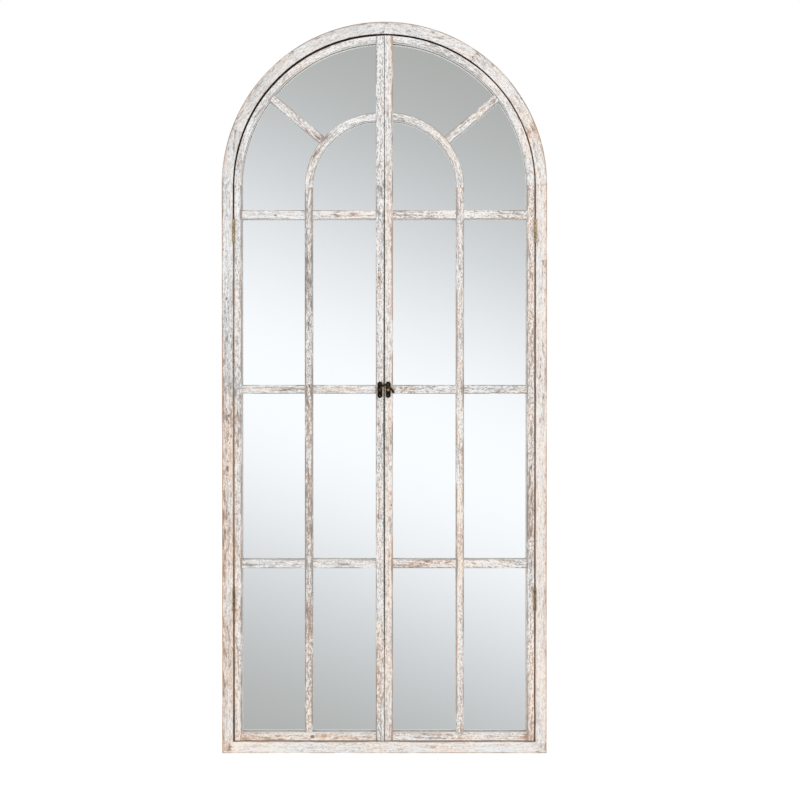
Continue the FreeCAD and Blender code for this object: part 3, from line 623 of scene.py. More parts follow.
for side, word in ((-1, "left"), (1, "right")):
    body = word + "_door"
    up, lv = Upright(side), Level(side)
    # section corners of a stile: 0 inner front, 1 outer front, 2 outer back, 3 inner back
    at_bars = [(z - 11.0, z + 11.0) for _, z in BARS]
    fl = [(0, a, b) for a, b in at_bars] + [(3, a, b) for a, b in at_bars]
    fl += [(0, ZB - 5, ZR), (3, ZB - 5, ZR)]
    add("wood_hinge_stile_" + word, word + "_hinge_stile", body, up, rect(X2, X3, FRONT, DBACK),
        const(ZB), const(DSPRING - 0.08), flush=fl, bare=door_side, rub={0: 1.1, 1: .6}, inset=(0,),
        marks=[(ZB, .2, 8.0), (DSPRING, .18, 4.0)])
    za = float(circle_z(RI0, X1, CZ, CX))
    zb = float(circle_z(RI1, X1, CZ, CX))
    zc, zd = float(circle_z(X2, X1, DSPRING)), float(circle_z(X3, X1, DSPRING))
    fm = [(1, a, b) for a, b in at_bars + [(ZB - 5, ZR), (za, zb), (zc, zd + 5)]]
    fm += [(2, a, b) for _, a, b in fm]
    add("wood_meeting_stile_" + word, word + "_meeting_stile", body, up, rect(X0, X1, FRONT, DBACK),
        const(ZB), lambda u, v, e=1.7 if side < 0 else 1.2: circle_z(X3 - e, u, DSPRING) + 0 * v, flush=fm, rub={0: .12, 1: 1.15},
        marks=[(ZB, .15, 8.0)], bow=((0, 3), eased(side)), inset=(1,) if side > 0 else ())
    add("wood_bottom_rail_" + word, word + "_bottom_rail", body, lv,
        [(ZR, FRONT, 1.2), (ZB, FRONT, 1.2), (ZB, DBACK, .6), (ZR, DBACK, .6)],
        const(X1), const(X2), flush=[(0, M0, M1), (3, M0, M1)],
        bare=lambda s, u, v: ramp(u, ZB + 1.2, ZB + 0.2) * ramp(v, FRONT + 0.6, FRONT + 2.6) * 0.7,
        rub={0: .4, 1: .12}, inset=(0,), marks=[(X1, .12, 6.0), (X2, .2, 6.0)])
    ref = 359.5
    add("wood_arch_rail_" + word, word + "_arch_rail", body, Round(side, 0.0, DSPRING),
        rect(X2, X3, FRONT, DBACK), const(0.08 / ref), lambda u, v: np.arccos(X1 / u) + 0 * v,
        ref=ref, bare=door_side, flush=[(0, ref * 0.735 - 13, ref * 0.735 + 9), (3, ref * 0.735 - 13, ref * 0.735 + 9)],
        rub={0: 1.0, 1: .4}, marks=[(0.0, .15, 5.0), (ref * 1.51, .12, 5.0)], bow=((1, 2), eased_arch(side)))
    add("wood_muntin_" + word, word + "_middle_muntin", body, up, rect(M0, M1, FRONT, DBACK),
        const(ZR), const(CZ - 0.06),
        flush=[(c, a, b) for c in (0, 1, 2, 3) for a, b in at_bars], inset=(0, 1),
        marks=[(ZR, .12, 6.0), (CZ, .15, 4.0)] + [(z, .10, 9.0) for _, z in BARS])
    for level, z in BARS:
        add("wood_cross_bar_%s_%s" % (level, word), word + "_cross_bar_" + level, body, lv,
            [(z - 11.0, FRONT, 1.2), (z + 11.0, FRONT, 1.2), (z + 11.0, DBACK, .6), (z - 11.0, DBACK, .6)],
            const(X1), const(X2), flush=[(0, M0, M1), (1, M0, M1)],
            marks=[(X1, .14, 7.0), (X2, .16, 7.0), (M0 - 3, .12, 5.0), (M1 + 3, .12, 5.0)])
    ref = 173.93
    add("wood_inner_arch_" + word, word + "_inner_arch", body, Round(side, CX, CZ),
        rect(RI0, RI1, FRONT, DBACK), const(0.06 / ref), lambda u, v: np.arccos((X1 - CX) / u) + 0 * v,
        ref=ref, step=4.5, flush=[(1, ref * 0.735 - 16, ref * 0.735 + 6), (2, ref * 0.735 - 16, ref * 0.735 + 6)],
        marks=[(0.0, .15, 5.0)])
    add("wood_spoke_" + word, word + "_spoke", body, Slanted(side),
        rect(-SPOKE_HALF, SPOKE_HALF, FRONT, DBACK),
        lambda u, v: along_spoke(RI1, CX, CZ, u) + 0 * v, lambda u, v: along_spoke(X2, 0.0, DSPRING, u) + 0 * v,
        marks=[(186.0, .15, 6.0), (352.0, .15, 6.0)])


# ------------------------------------------------------------------- cutters
def block(x0, x1, y0, y1, z0, z1):
    bm = bmesh.new()
    bmesh.ops.create_cube(bm, size=1.0)
    for v in bm.verts:
        v.co = Vector((x0 + (v.co.x + .5) * (x1 - x0), y0 + (v.co.y + .5) * (y1 - y0),
                       z0 + (v.co.z + .5) * (z1 - z0))) * MM
    me = bpy.data.meshes.new("cutter")
    bm.to_mesh(me)
    bm.free()
    ob = bpy.data.objects.new("cutter", me)
    bpy.context.scene.collection.objects.link(ob)
    return ob


def drum(x, y, z0, z1, r, steps=48):
    """A cylinder along Z."""
    bm = bmesh.new()
    rings = []
    for z in (z0, z1):
        rings.append([bm.verts.new(Vector((x + r * math.cos(2 * math.pi * i / steps),
                                           y + r * math.sin(2 * math.pi * i / steps), z)) * MM)
                      for i in range(steps)])
    for i in range(steps):
        j = (i + 1) % steps
        bm.faces.new((rings[0][i], rings[0][j], rings[1][j], rings[1][i]))
    bm.faces.new(rings[0][::-1])
    bm.faces.new(rings[1])
    bmesh.ops.recalc_face_normals(bm, faces=bm.faces)
    me = bpy.data.meshes.new("cutter")
    bm.to_mesh(me)
    bm.free()
    ob = bpy.data.objects.new("cutter", me)
    bpy.context.scene.collection.objects.link(ob)
    return ob


def carve(ob, cutters):
    for c in cutters:
        m = ob.modifiers.new("cut", "BOOLEAN")
        m.operation, m.object, m.solver = "DIFFERENCE", c, "EXACT"
    dg = bpy.context.evaluated_depsgraph_get()
    dg.update()
    cut = bpy.data.meshes.new_from_object(ob.evaluated_get(dg))
    old = ob.data
    ob.modifiers.clear()
    ob.data = cut
    cut.name = ob.name
    bpy.data.meshes.remove(old)
    for c in cutters:
        me = c.data
        bpy.data.objects.remove(c)
        bpy.data.meshes.remove(me)


# ----------------------------------------------------------------- materials
class Graph:
    """A few short words for making shader nodes."""

    def __init__(self, name):
        self.mat = bpy.data.materials.new(name)
        self.mat.use_nodes = True
        self.t = self.mat.node_tree
        self.t.nodes.clear()
        self.out = self.t.nodes.new("ShaderNodeOutputMaterial")
        self.bsdf = self.t.nodes.new("ShaderNodeBsdfPrincipled")
        self.t.links.new(self.bsdf.outputs[0], self.out.inputs[0])

    def put(self, socket, value):
        if isinstance(value, bpy.types.NodeSocket):
            self.t.links.new(value, socket)
        elif value is not None:
            if hasattr(socket.default_value, "__len__") and not hasattr(value, "__len__"):
                value = [value] * len(socket.default_value)
            if hasattr(socket.default_value, "__len__") and len(socket.default_value) == 4 and len(value) == 3:
                value = list(value) + [1.0]
            socket.default_value = value

    def math(self, op, a, b=None, c=None, clamp=False):
        n = self.t.nodes.new("ShaderNodeMath")
        n.operation, n.use_clamp = op, clamp
        for i, v in enumerate((a, b, c)):
            if v is not None:
                self.put(n.inputs[i], v)
        return n.outputs[0]

    def add(self, *v):
        out = v[0]
        for w in v[1:]:
            out = self.math("ADD", out, w)
        return out

    def mul(self, *v):
        out = v[0]
        for w in v[1:]:
            out = self.math("MULTIPLY", out, w)
        return out

    def vmul(self, a, b):
        n = self.t.nodes.new("ShaderNodeVectorMath")
        n.operation = "MULTIPLY"
        self.put(n.inputs[0], a)
        self.put(n.inputs[1], b)
        return n.outputs[0]

    def vadd(self, a, b):
        n = self.t.nodes.new("ShaderNodeVectorMath")
        n.operation = "ADD"
        self.put(n.inputs[0], a)
        self.put(n.inputs[1], b)
        return n.outputs[0]

    def length(self, a):
        n = self.t.nodes.new("ShaderNodeVectorMath")
        n.operation = "LENGTH"
        self.put(n.inputs[0], a)
        return n.outputs["Value"]

    def noise(self, vec, scale=(1, 1, 1), detail=3.0, rough=0.55, warp=0.0, colour=False):
        n = self.t.nodes.new("ShaderNodeTexNoise")
        self.put(n.inputs["Vector"], self.vmul(vec, scale))
        n.inputs["Scale"].default_value = 1.0
        n.inputs["Detail"].default_value = detail
        n.inputs["Roughness"].default_value = rough
        n.inputs["Distortion"].default_value = warp
        return n.outputs["Color" if colour else 0]

    def cells(self, vec, scale, feature="F1", rand=1.0):
        n = self.t.nodes.new("ShaderNodeTexVoronoi")
        n.feature = feature
        self.put(n.inputs["Vector"], self.vmul(vec, scale))
        n.inputs["Scale"].default_value = 1.0
        n.inputs["Randomness"].default_value = rand
        return n

    def range(self, v, a, b, lo=0.0, hi=1.0, smooth=True):
        n = self.t.nodes.new("ShaderNodeMapRange")
        n.interpolation_type = "SMOOTHSTEP" if smooth else "LINEAR"
        n.clamp = True
        self.put(n.inputs["Value"], v)
        for k, w in (("From Min", a), ("From Max", b), ("To Min", lo), ("To Max", hi)):
            self.put(n.inputs[k], w)
        return n.outputs[0]

    def mix(self, f, a, b, how="MIX"):
        n = self.t.nodes.new("ShaderNodeMix")
        n.data_type, n.blend_type = "RGBA", how
        self.put(n.inputs[0], f)
        self.put(n.inputs[6], a)
        self.put(n.inputs[7], b)
        return n.outputs[2]

    def attr(self, name, vector=False):
        n = self.t.nodes.new("ShaderNodeAttribute")
        n.attribute_name = name
        return n.outputs["Vector" if vector else "Fac"]

    def part(self, vec):
        n = self.t.nodes.new("ShaderNodeSeparateXYZ")
        self.put(n.inputs[0], vec)
        return n.outputs

    def place(self):
        n = self.t.nodes.new("ShaderNodeTexCoord")
        return n.outputs["Object"]

    def bump(self, height, strength, distance, normal=None):
        n = self.t.nodes.new("ShaderNodeBump")
        n.inputs["Strength"].default_value = strength
        n.inputs["Distance"].default_value = distance
        self.put(n.inputs["Height"], height)
        if normal is not None:
            self.put(n.inputs["Normal"], normal)
        return n.outputs[0]

    def set(self, **k):
        for name, v in k.items():
            self.put(self.bsdf.inputs[name.replace("_", " ")], v)
        return self.mat


def srgb(r, g, b):
    def f(c):
        c /= 255.0
        return c / 12.92 if c <= 0.04045 else ((c + 0.055) / 1.055) ** 2.4
    return f(r), f(g), f(b), 1.0


def whitewashed():
    g = Graph("whitewashed wood")
    p = g.attr("grain", True)
    edge, wear, speck, bare, strokes = (g.attr(n) for n in ("edge", "wear", "speck", "bare", "strokes"))
    level, contrast, hue = g.part(g.attr("coat", True))

    def about(v, k):
        return g.mul(g.math("SUBTRACT", v, .5), k)

    # wavy grain
    bend = g.noise(p, (7, 18, 18), 2.0, .5)
    shift = g.t.nodes.new("ShaderNodeCombineXYZ")
    g.put(shift.inputs[1], about(bend, .010))
    q = g.vadd(p, shift.outputs[0])
    broad = g.noise(p, (5, 22, 22), 2.0, .5)
    streak = g.noise(q, (7, 240, 240), 2.0, .6)
    run = g.noise(q, (22, 300, 300), 2.0, .6)
    dash = g.noise(q, (80, 300, 300), 2.0, .6)
    dot = g.noise(q, (170, 310, 310), 2.0, .6)
    fibre = g.noise(q, (60, 1150, 1150), 3.0, .6)
    flake = g.noise(q, (36, 150, 150), 4.0, .66)
    pores = g.noise(q, (240, 1300, 1300), 2.0, .5)
    saw = g.noise(p, (620, 55, 55), 2.0, .5)
    tone = g.noise(p, (14, 90, 90), 3.0, .6)
    # sanding strokes across the grain
    xyz = g.part(g.place())
    slant = g.t.nodes.new("ShaderNodeCombineXYZ")
    g.put(slant.inputs[0], g.mul(g.math("SUBTRACT", xyz[0], xyz[2]), 190.0))
    g.put(slant.inputs[1], g.mul(g.add(xyz[0], xyz[2]), 16.0))
    stroke = g.range(g.noise(slant.outputs[0], (1, 1, 1), 2.0, .55), .50, .64)
    # how much paint is left
    fleck = g.attr("fleck")
    left = g.add(.69, level, g.mul(contrast, g.add(
        about(broad, .9), about(streak, 1.35), about(run, 1.4),
        g.mul(fleck, g.add(about(dash, 2.3), about(dot, 3.7))),
        about(fibre, .9), about(saw, .35))), g.mul(wear, -.38), g.mul(strokes, stroke, -.38))
    body = g.range(left, -.25, 1.15, smooth=False)
    warm = g.attr("warm")
    drift = g.noise(p, (4, 26, 26), 2.0, .5)
    h = g.math("ADD", g.add(hue, g.mul(warm, .32), about(drift, 1.5)), about(tone, 1.9), clamp=True)
    thin = g.mix(h, srgb(160, 157, 155), srgb(190, 152, 129))
    full = g.mix(h, srgb(234, 234, 234), srgb(241, 231, 220))
    paint = g.mix(body, thin, full)
    # painted light: the lattice sides are mixed towards near white, standing in for the light the mirror throws onto
    # them
    paint = g.mix(g.mul(g.attr("reveal"), .75), paint, srgb(248, 247, 245))
    # the wood under the paint
    h2 = g.math("ADD", g.mul(hue, .8), about(tone, -2.2), clamp=True)
    wood = g.mix(h2, srgb(152, 142, 134), srgb(192, 156, 130))
    wood = g.mix(g.mul(g.range(fibre, .5, .68), .5), wood, srgb(112, 96, 86))
    wood = g.mix(g.mul(g.range(dash, .52, .66), .4), wood, srgb(204, 190, 178))
    lost = g.add(flake, g.mul(wear, .26), g.mul(level, -.10), g.mul(about(broad, 1.0), contrast, -.25),
                 g.mul(about(dot, 1.0), .35))
    chip = g.range(lost, .635, .665)
    rim = g.mul(g.range(lost, .615, .64), g.range(lost, .67, .65), .30)
    deep = g.mul(g.range(g.add(lost, g.mul(speck, .05)), .70, .76), .45)
    # rubbed arrises
    along = g.noise(p, (12, 50, 50), 2.0, .55)
    rub = g.mul(edge, g.range(along, .36, .64, .40, 1.0))
    worn = g.range(g.add(rub, about(run, .55), about(dot, .5)), .26, .60)
    ink = g.math("ADD", g.add(g.mul(hue, .7), warm), about(g.noise(p, (7, 30, 30), 2.0, .5), 2.6), clamp=True)
    line = g.mix(ink, srgb(136, 126, 118), srgb(186, 144, 114))
    line = g.mix(g.mul(g.range(fibre, .5, .68), .35), line, srgb(112, 98, 88))
    col = g.mix(g.mul(chip, .82), paint, wood)
    col = g.mix(rim, col, srgb(128, 112, 102))
    col = g.mix(deep, col, srgb(96, 82, 74))
    col = g.mix(g.mul(worn, .80), col, line)
    # grey in the pores, and small dark specks where the coat broke off
    grey = g.mul(g.range(pores, .54, .7), g.range(streak, .60, .42), .24)
    col = g.mix(grey, col, srgb(122, 116, 112))
    zone = g.add(speck, g.mul(g.range(broad, .5, .66), .35), g.mul(wear, .35))
    seeds = g.add(g.mul(dot, .6), g.mul(g.noise(q, (120, 400, 400), 1.0, .5), .4))
    cut = g.math("SUBTRACT", .705, g.mul(zone, .115))
    spots = g.range(g.math("SUBTRACT", seeds, cut), .0, .03)
    spots = g.mul(spots, g.range(zone, .05, .5, .3, .95))
    col = g.mix(spots, col, srgb(84, 76, 71))
    # the stained sides that face the gap round the doors
    stain = g.mix(g.range(streak, .4, .6), srgb(226, 182, 142), srgb(200, 156, 118))
    stain = g.mix(g.mul(g.range(fibre, .5, .7), .4), stain, srgb(134, 98, 70))
    # painted shade: near-black browns mixed into the gap-side stain where the dark attribute is above zero
    painted_gap_shade = g.mix(g.range(g.add(g.mul(streak, .6), g.mul(fibre, .4)), .4, .6), srgb(54, 40, 31), srgb(88, 66, 50))
    stain = g.mix(g.mul(g.range(g.add(g.attr("dark"), about(streak, .6)), 0.0, 1.0, smooth=False), .94), stain, painted_gap_shade)
    # painted light: pale tan mixed in where the dark attribute is below zero
    stain = g.mix(g.range(g.attr("dark"), 0.0, -1.0, smooth=False), stain, srgb(246, 226, 200))
    raw = g.range(g.add(bare, about(dash, .5), about(run, .3)), .22, .5)
    col = g.mix(raw, col, stain)
    # knots and nail holes
    k = g.part(g.attr("knot", True))
    flat = g.t.nodes.new("ShaderNodeCombineXYZ")
    g.put(flat.inputs[0], k[0])
    g.put(flat.inputs[1], k[1])
    ragged = about(g.noise(p, (420, 420, 420), 2.0, .6), .9)
    dist = g.add(g.length(flat.outputs[0]), ragged)
    kind = k[2]
    heart = g.range(dist, 1.0, .55)
    dark_knot = g.mul(heart, g.range(g.math("ABSOLUTE", g.math("SUBTRACT", kind, 1.0)), .4, .2))
    tan_knot = g.mul(heart, g.range(g.math("ABSOLUTE", g.math("SUBTRACT", kind, 2.0)), .4, .2))
    hole = g.mul(heart, g.range(kind, 2.6, 2.9))
    col = g.mix(g.mul(dark_knot, .78), col, srgb(98, 78, 67))
    col = g.mix(g.mul(tan_knot, .85), col, srgb(198, 164, 138))
    col = g.mix(g.mul(hole, .9), col, srgb(70, 58, 52))
    bare_wood = g.math("MAXIMUM", g.math("MAXIMUM", chip, worn), raw)
    height = g.add(g.mul(body, .35), g.mul(bare_wood, -.55), g.mul(run, .35), g.mul(dash, .3), g.mul(fibre, .35),
                   g.mul(spots, -.9), g.mul(hole, -2.0), g.mul(dark_knot, -.5), g.mul(pores, -.15),
                   g.mul(strokes, stroke, -.25))
    rough = g.add(.60, g.mul(fibre, .18), g.mul(bare_wood, .06))
    rough = g.add(rough, g.mul(raw, .3))
    return g.set(Base_Color=col, Roughness=rough, Normal=g.bump(height, .8, .0007),
                 Specular_IOR_Level=.14)


def mirror():
    g = Graph("silvered glass")
    p = g.place()
    dust = g.noise(p, (6, 6, 6), 3.0, .6)
    wipe = g.noise(p, (90, 90, 14), 2.0, .5)
    rough = g.add(.004, g.mul(dust, .006), g.mul(wipe, .004))
    tint = g.mix(g.range(dust, .35, .65), (.925, .945, .94, 1), (.935, .95, .946, 1))
    return g.set(Base_Color=tint, Metallic=1.0, Roughness=rough)


def metal(name, light, dark, rough=.35, scale=320.0, brushed=(1, 1, 1), worn=None, depth=.00012, painted_crown_highlight=None):
    g = Graph(name)
    p = g.place()
    cloud = g.noise(p, scale * .35, 3.0, .6)
    grain = g.noise(g.vmul(p, brushed), scale * 4, 3.0, .6)
    pits = g.noise(p, scale * 2.2, 2.0, .5)
    f = g.range(g.add(g.mul(cloud, .7), g.mul(grain, .3)), .36, .62)
    col = g.mix(f, dark, light)
    if worn is not None:
        col = g.mix(g.mul(g.range(pits, .56, .7), .7), col, worn)
    if painted_crown_highlight is not None:
        # painted highlight: the top of a domed head painted bright
        high, low, bright = painted_crown_highlight
        top = g.range(g.add(g.part(p)[1], g.mul(g.math("SUBTRACT", cloud, .5), .0002)), low, high)
        col = g.mix(g.mul(top, .9), col, bright)
    r = g.add(rough, g.mul(g.math("SUBTRACT", cloud, .5), .35), g.mul(g.math("SUBTRACT", grain, .5), .15))
    h = g.add(g.mul(grain, .4), g.mul(pits, .6))
    return g.set(Base_Color=col, Metallic=1.0, Roughness=r, Normal=g.bump(h, .5, depth))


def fibreboard():
    g = Graph("hardboard")
    p = g.place()
    fibres = g.noise(p, (260, 40, 900), 4.0, .65, .6)
    cross = g.noise(p, (900, 40, 260), 4.0, .65, .6)
    cloud = g.noise(p, 5.0, 3.0, .55)
    fleck = g.cells(p, (340, 30, 700))
    col = g.mix(g.range(g.add(g.mul(fibres, .5), g.mul(cross, .5)), .38, .62), srgb(126, 94, 66), srgb(160, 124, 90))
    col = g.mix(g.mul(g.range(cloud, .4, .65), .45), col, srgb(142, 104, 72))
    col = g.mix(g.mul(g.range(fleck.outputs["Distance"], .16, .05), .5), col, srgb(92, 66, 46))
    return g.set(Base_Color=col, Roughness=g.add(.7, g.mul(fibres, .15)),
                 Normal=g.bump(g.add(fibres, cross), .35, .0002))


def beech():
    g = Graph("beech dowel")
    p = g.place()
    ring = g.noise(p, (900, 900, 900), 3.0, .6)
    slow = g.noise(p, (120, 300, 120), 2.0, .5)
    col = g.mix(g.range(slow, .4, .6), srgb(205, 170, 128), srgb(184, 144, 104))
    col = g.mix(g.mul(g.range(ring, .55, .7), .6), col, srgb(150, 110, 76))
    return g.set(Base_Color=col, Roughness=g.add(.5, g.mul(ring, .2)), Normal=g.bump(ring, .4, .0002))


def rubber(name, colour, dark, rough):
    g = Graph(name)
    p = g.place()
    n = g.noise(p, 1400.0, 3.0, .6)
    m = g.noise(p, 260.0, 2.0, .5)
    col = g.mix(g.range(m, .4, .6), colour, dark)
    return g.set(Base_Color=col, Roughness=g.add(rough, g.mul(n, .2)), Normal=g.bump(n, .4, .0001),
                 Specular_IOR_Level=.4)


def gap_shade_felt():
    g = Graph("grey felt")
    p = g.place()
    hairs = g.noise(p, (1500, 1500, 900), 3.0, .7, .8)
    cloud = g.noise(p, (90, 90, 60), 3.0, .55)
    # the felt's greys are painted shade: the strip is coloured to the darkness of the narrow centre gap it sits in
    col = g.mix(g.range(hairs, .38, .64), srgb(160, 160, 156), srgb(196, 196, 191))
    col = g.mix(g.mul(g.range(cloud, .4, .62), .4), col, srgb(168, 168, 163))
    z = g.part(p)[2]
    # painted light: lighter towards the top and bottom ends of the strip
    ends = g.add(g.range(z, 1.38, 1.60), g.range(z, .36, .16))
    col = g.mix(g.mul(ends, .9), col, srgb(236, 233, 227))
    return g.set(Base_Color=col, Roughness=.95, Normal=g.bump(g.add(hairs, cloud), .6, .0003),
                 Sheen_Weight=.25, Sheen_Roughness=.6, Specular_IOR_Level=.15)


WOOD = whitewashed()
for m in members:
    m.build()
by_name = {m.name: m for m in members}

# hinge barrels need room in the jambs and stiles, and the hangers a pocket
for side, word in ((-1, "left"), (1, "right")):
    for part in ("wood_frame_jamb_", "wood_hinge_stile_"):
        cut = [drum(side * HINGE_X, HINGE_Y, z - HINGE_LEN / 2 - 2.2, z + HINGE_LEN / 2 + 2.2, 3.6) for z in HINGE_Z]
        if "jamb" in part:
            cx = side * HANGER_X
            cut.append(block(cx - 5.5, cx + 5.5, BACK - 8.0, BACK + 2.0, HANGER_ENTRY - 5.5, HANGER_ENTRY + 15.5))
        carve(by_name[part + word].obj, cut)
    # half laps: the upright runs through in front, the bars behind
    laps = [block(*sorted((side * (M0 - 2), side * (M1 + 2))), MIDY, DBACK + 1, z - 11.0, z + 11.0) for _, z in BARS]
    carve(by_name["wood_muntin_" + word].obj, laps)
    for level, z in BARS:
        carve(by_name["wood_cross_bar_%s_%s" % (level, word)].obj,
              [block(*sorted((side * M0, side * M1)), FRONT - 1, MIDY, z - 12.5, z + 12.5)])
for m in members:
    m.paint()

# --------------------------------------------- finishes on the CAD's own parts
BRASS = metal("aged brass", srgb(190, 166, 126), srgb(134, 114, 86), .36, 260.0, (1, 1, 1), srgb(96, 80, 60))
BRASS_DARKER = metal("dull brass", srgb(164, 138, 104), srgb(112, 92, 68), .42, 260.0, (1, 1, 1), srgb(80, 66, 50))
BRONZE = metal("dark bronze", srgb(50, 41, 34), srgb(26, 22, 20), .38, 300.0, (1, 1, 1), srgb(20, 18, 17), .00016)
# painted highlight: each screw's domed top painted a bluish white
SCREW = metal("black screw", srgb(34, 34, 38), srgb(20, 20, 23), .30, 300.0, (1, 1, 1), srgb(16, 16, 18), .00008,
              (-.01888, -.01872, srgb(168, 178, 184)))
HOOK = metal("worn bronze", srgb(92, 74, 46), srgb(44, 36, 26), .34, 300.0, (1, 1, 1), srgb(30, 25, 20), .00014)
RIVET = metal("rubbed bronze", srgb(92, 74, 52), srgb(44, 36, 28), .34, 300.0, (1, 1, 1), srgb(28, 24, 20), .0001)
# painted highlight: the peg's domed top painted a pale cream
PEG = metal("rubbed brass", srgb(164, 126, 74), srgb(104, 76, 46), .3, 300.0, (1, 1, 1), srgb(70, 52, 36), .0001,
            (-.02372, -.02352, srgb(232, 214, 168)))
ZINC = metal("zinc plate", srgb(196, 198, 202), srgb(150, 154, 160), .36, 240.0, (1, 1, 1), srgb(126, 128, 132))
MIRROR = mirror()
BOARD = fibreboard()
BEECH = beech()
RUBBER = rubber("black rubber", srgb(38, 38, 40), srgb(28, 28, 30), .6)
CLEAR = rubber("clear soft plastic", srgb(196, 198, 194), srgb(176, 178, 174), .3)

FINISH = {
    "mirror_glass": MIRROR, "backing_board": BOARD, "frame_dowels": BEECH, "backing_clips": ZINC,
    "back_screws": ZINC, "hanger_plates": ZINC, "wall_pads": RUBBER, "centre_strip": gap_shade_felt(),
    "latch_plate_left": BRONZE, "latch_plate_right": BRONZE, "latch_rivet": RIVET, "latch_peg": PEG,
    "latch_hook": HOOK, "latch_screws_left": SCREW, "latch_screws_right": SCREW,
    "hinge_pins": BRASS, "hinge_screws_frame": BRASS_DARKER,
}
for word in ("left", "right"):
    FINISH[word + "_door_dowels"] = BEECH
    FINISH[word + "_door_stops"] = CLEAR
    FINISH["hinge_screws_%s_door" % word] = BRASS_DARKER
    for who in ("frame", "door"):
        # the upper hinge leaves take the brighter brass and the lower leaves a darker copy of it
        FINISH["hinge_leaf_%s_upper_%s" % (who, word)] = BRASS
        FINISH["hinge_leaf_%s_lower_%s" % (who, word)] = BRASS_DARKER

for name, mat in FINISH.items():
    ob = NODES[name]
    ob.data.materials.clear()
    ob.data.materials.append(mat)
    if name in ("mirror_glass", "backing_board", "frame_dowels") or name.endswith("dowels"):
        continue
    weld = ob.modifiers.new("weld", "WELD")
    weld.merge_threshold = 1e-6
    bev = ob.modifiers.new("edges", "BEVEL")
    bev.width = .00022 if name != "wall_pads" else .0006
    bev.segments = 2
    bev.limit_method = "ANGLE"
    bev.angle_limit = math.radians(38)
    bev.harden_normals = True

# -------------------------------------------------------- floor, light, camera
scene = bpy.context.scene
scene.view_settings.view_transform = "Standard"
scene.view_settings.look = "None"

CAM_Z, CAM_D, CAM_PITCH = 0.923, 4.5, math.radians(0.558)
cam_data = bpy.data.cameras.new("camera")
cam = bpy.data.objects.new("camera", cam_data)
scene.collection.objects.link(cam)
cam.location = (0.0, FRONT * MM - CAM_D, CAM_Z)
cam.rotation_euler = (math.pi / 2 - CAM_PITCH, 0.0, 0.0)
cam_data.sensor_width = 36.0
cam_data.lens = 1829.6 / 800.0 * 36.0
cam_data.shift_x = 15.59 / 800.0
cam_data.shift_y = -3.38 / 800.0
cam_data.clip_start, cam_data.clip_end = 0.1, 60.0
scene.camera = cam


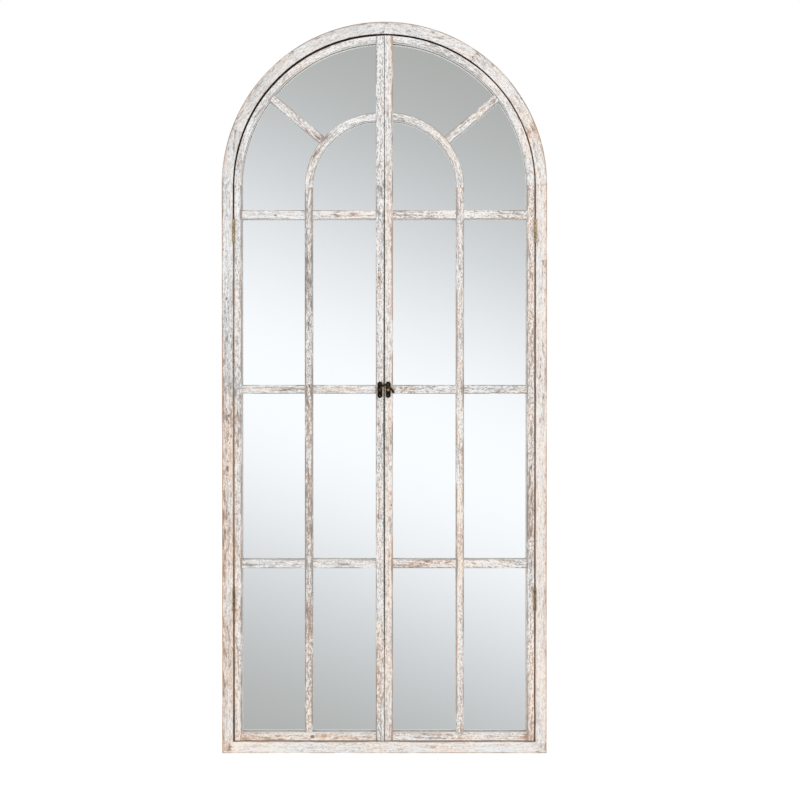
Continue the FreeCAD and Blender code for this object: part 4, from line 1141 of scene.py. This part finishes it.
def world():
    """A white room. Towards the viewer's side the wall falls off in brightness away from
    a slanting bright band, which is what the mirror shows."""
    w = bpy.data.worlds.new("studio")
    scene.world = w
    w.use_nodes = True
    t = w.node_tree
    t.nodes.clear()

    def node(kind, **k):
        n = t.nodes.new(kind)
        for a, b in k.items():
            setattr(n, a, b)
        return n

    def maths(op, a, b=None, clamp=False):
        n = node("ShaderNodeMath", operation=op, use_clamp=clamp)
        for i, v in enumerate((a, b)):
            if v is None:
                continue
            if isinstance(v, bpy.types.NodeSocket):
                t.links.new(v, n.inputs[i])
            else:
                n.inputs[i].default_value = v
        return n.outputs[0]

    coord = node("ShaderNodeTexCoord")
    sep = node("ShaderNodeSeparateXYZ")
    t.links.new(coord.outputs["Generated"], sep.inputs[0])
    x, y, z = sep.outputs
    back = maths("MAXIMUM", maths("MULTIPLY", y, -1.0), 0.05)
    u = maths("MULTIPLY", maths("DIVIDE", x, back), CAM_D)
    v = maths("MULTIPLY", maths("DIVIDE", z, back), CAM_D)
    # height above the band's middle line, in metres on the mirror
    off = maths("ADD", maths("ADD", v, CAM_Z - 0.798), maths("MULTIPLY", u, 0.367))
    far = maths("MINIMUM", maths("MAXIMUM", maths("DIVIDE", off, 1.103), maths("DIVIDE", off, -1.041)), 1.0)
    bell = maths("POWER", maths("COSINE", maths("MULTIPLY", far, math.pi / 2)), 2.48)
    ramp_ = node("ShaderNodeValToRGB")
    t.links.new(bell, ramp_.inputs[0])
    cr = ramp_.color_ramp
    cr.elements[0].position, cr.elements[0].color = 0.0, (.442, .451, .438, 1)
    cr.elements[1].position, cr.elements[1].color = 1.0, (1.022, 1.039, 1.066, 1)
    e = cr.elements.new(.5)
    e.color = (.717, .735, .764, 1)
    # only towards the viewer's side; the rest of the room is plain white
    facing = node("ShaderNodeMapRange", interpolation_type="SMOOTHSTEP")
    t.links.new(y, facing.inputs["Value"])
    for a, b in (("From Min", -.80), ("From Max", -.95), ("To Min", 0.0), ("To Max", 1.0)):
        facing.inputs[a].default_value = b
    mixer = node("ShaderNodeMix", data_type="RGBA")
    t.links.new(facing.outputs[0], mixer.inputs[0])
    mixer.inputs[6].default_value = (.90, .90, .90, 1)
    t.links.new(ramp_.outputs[0], mixer.inputs[7])
    path = node("ShaderNodeLightPath")
    seen = node("ShaderNodeMix", data_type="RGBA")
    t.links.new(path.outputs["Is Camera Ray"], seen.inputs[0])
    t.links.new(mixer.outputs[2], seen.inputs[6])
    seen.inputs[7].default_value = (1, 1, 1, 1)
    bg = node("ShaderNodeBackground")
    t.links.new(seen.outputs[2], bg.inputs[0])
    bg.inputs[1].default_value = 1.0
    out = node("ShaderNodeOutputWorld")
    t.links.new(bg.outputs[0], out.inputs[0])


world()


# the softboxes glint in the metal parts, but the mirror shows only the room
NOT_MIRROR = bpy.data.collections.new("softboxes leave out")
NOT_MIRROR.objects.link(NODES["mirror_glass"])
NOT_MIRROR.collection_objects[0].light_linking.link_state = "EXCLUDE"


def softbox(name, at, to, size, power, colour=(1, 1, 1)):
    d = bpy.data.lights.new(name, "AREA")
    d.shape, d.size, d.size_y = "RECTANGLE", size[0], size[1]
    d.energy, d.color = power, colour
    o = bpy.data.objects.new(name, d)
    scene.collection.objects.link(o)
    o.location = at
    o.rotation_euler = (Vector(to) - Vector(at)).to_track_quat("-Z", "Y").to_euler()
    o.visible_camera = False
    o.light_linking.receiver_collection = NOT_MIRROR
    return o


softbox("key", (-2.6, -3.2, 3.4), (0, 0, .9), (1.8, 1.8), 30)
softbox("fill", (3.0, -3.0, 1.8), (0, 0, .9), (1.6, 2.2), 14)

me = bpy.data.meshes.new("floor")
me.from_pydata([(-30, -30, 0), (30, -30, 0), (30, 30, 0), (-30, 30, 0)], [], [(0, 1, 2, 3)])
floor = bpy.data.objects.new("floor", me)
scene.collection.objects.link(floor)
floor.visible_glossy = False
fg = Graph("pale floor")
fg.set(Base_Color=(.82, .82, .82, 1), Roughness=.9, Emission_Color=(1, 1, 1, 1), Emission_Strength=.36,
       Specular_IOR_Level=0.0)
me.materials.append(fg.mat)
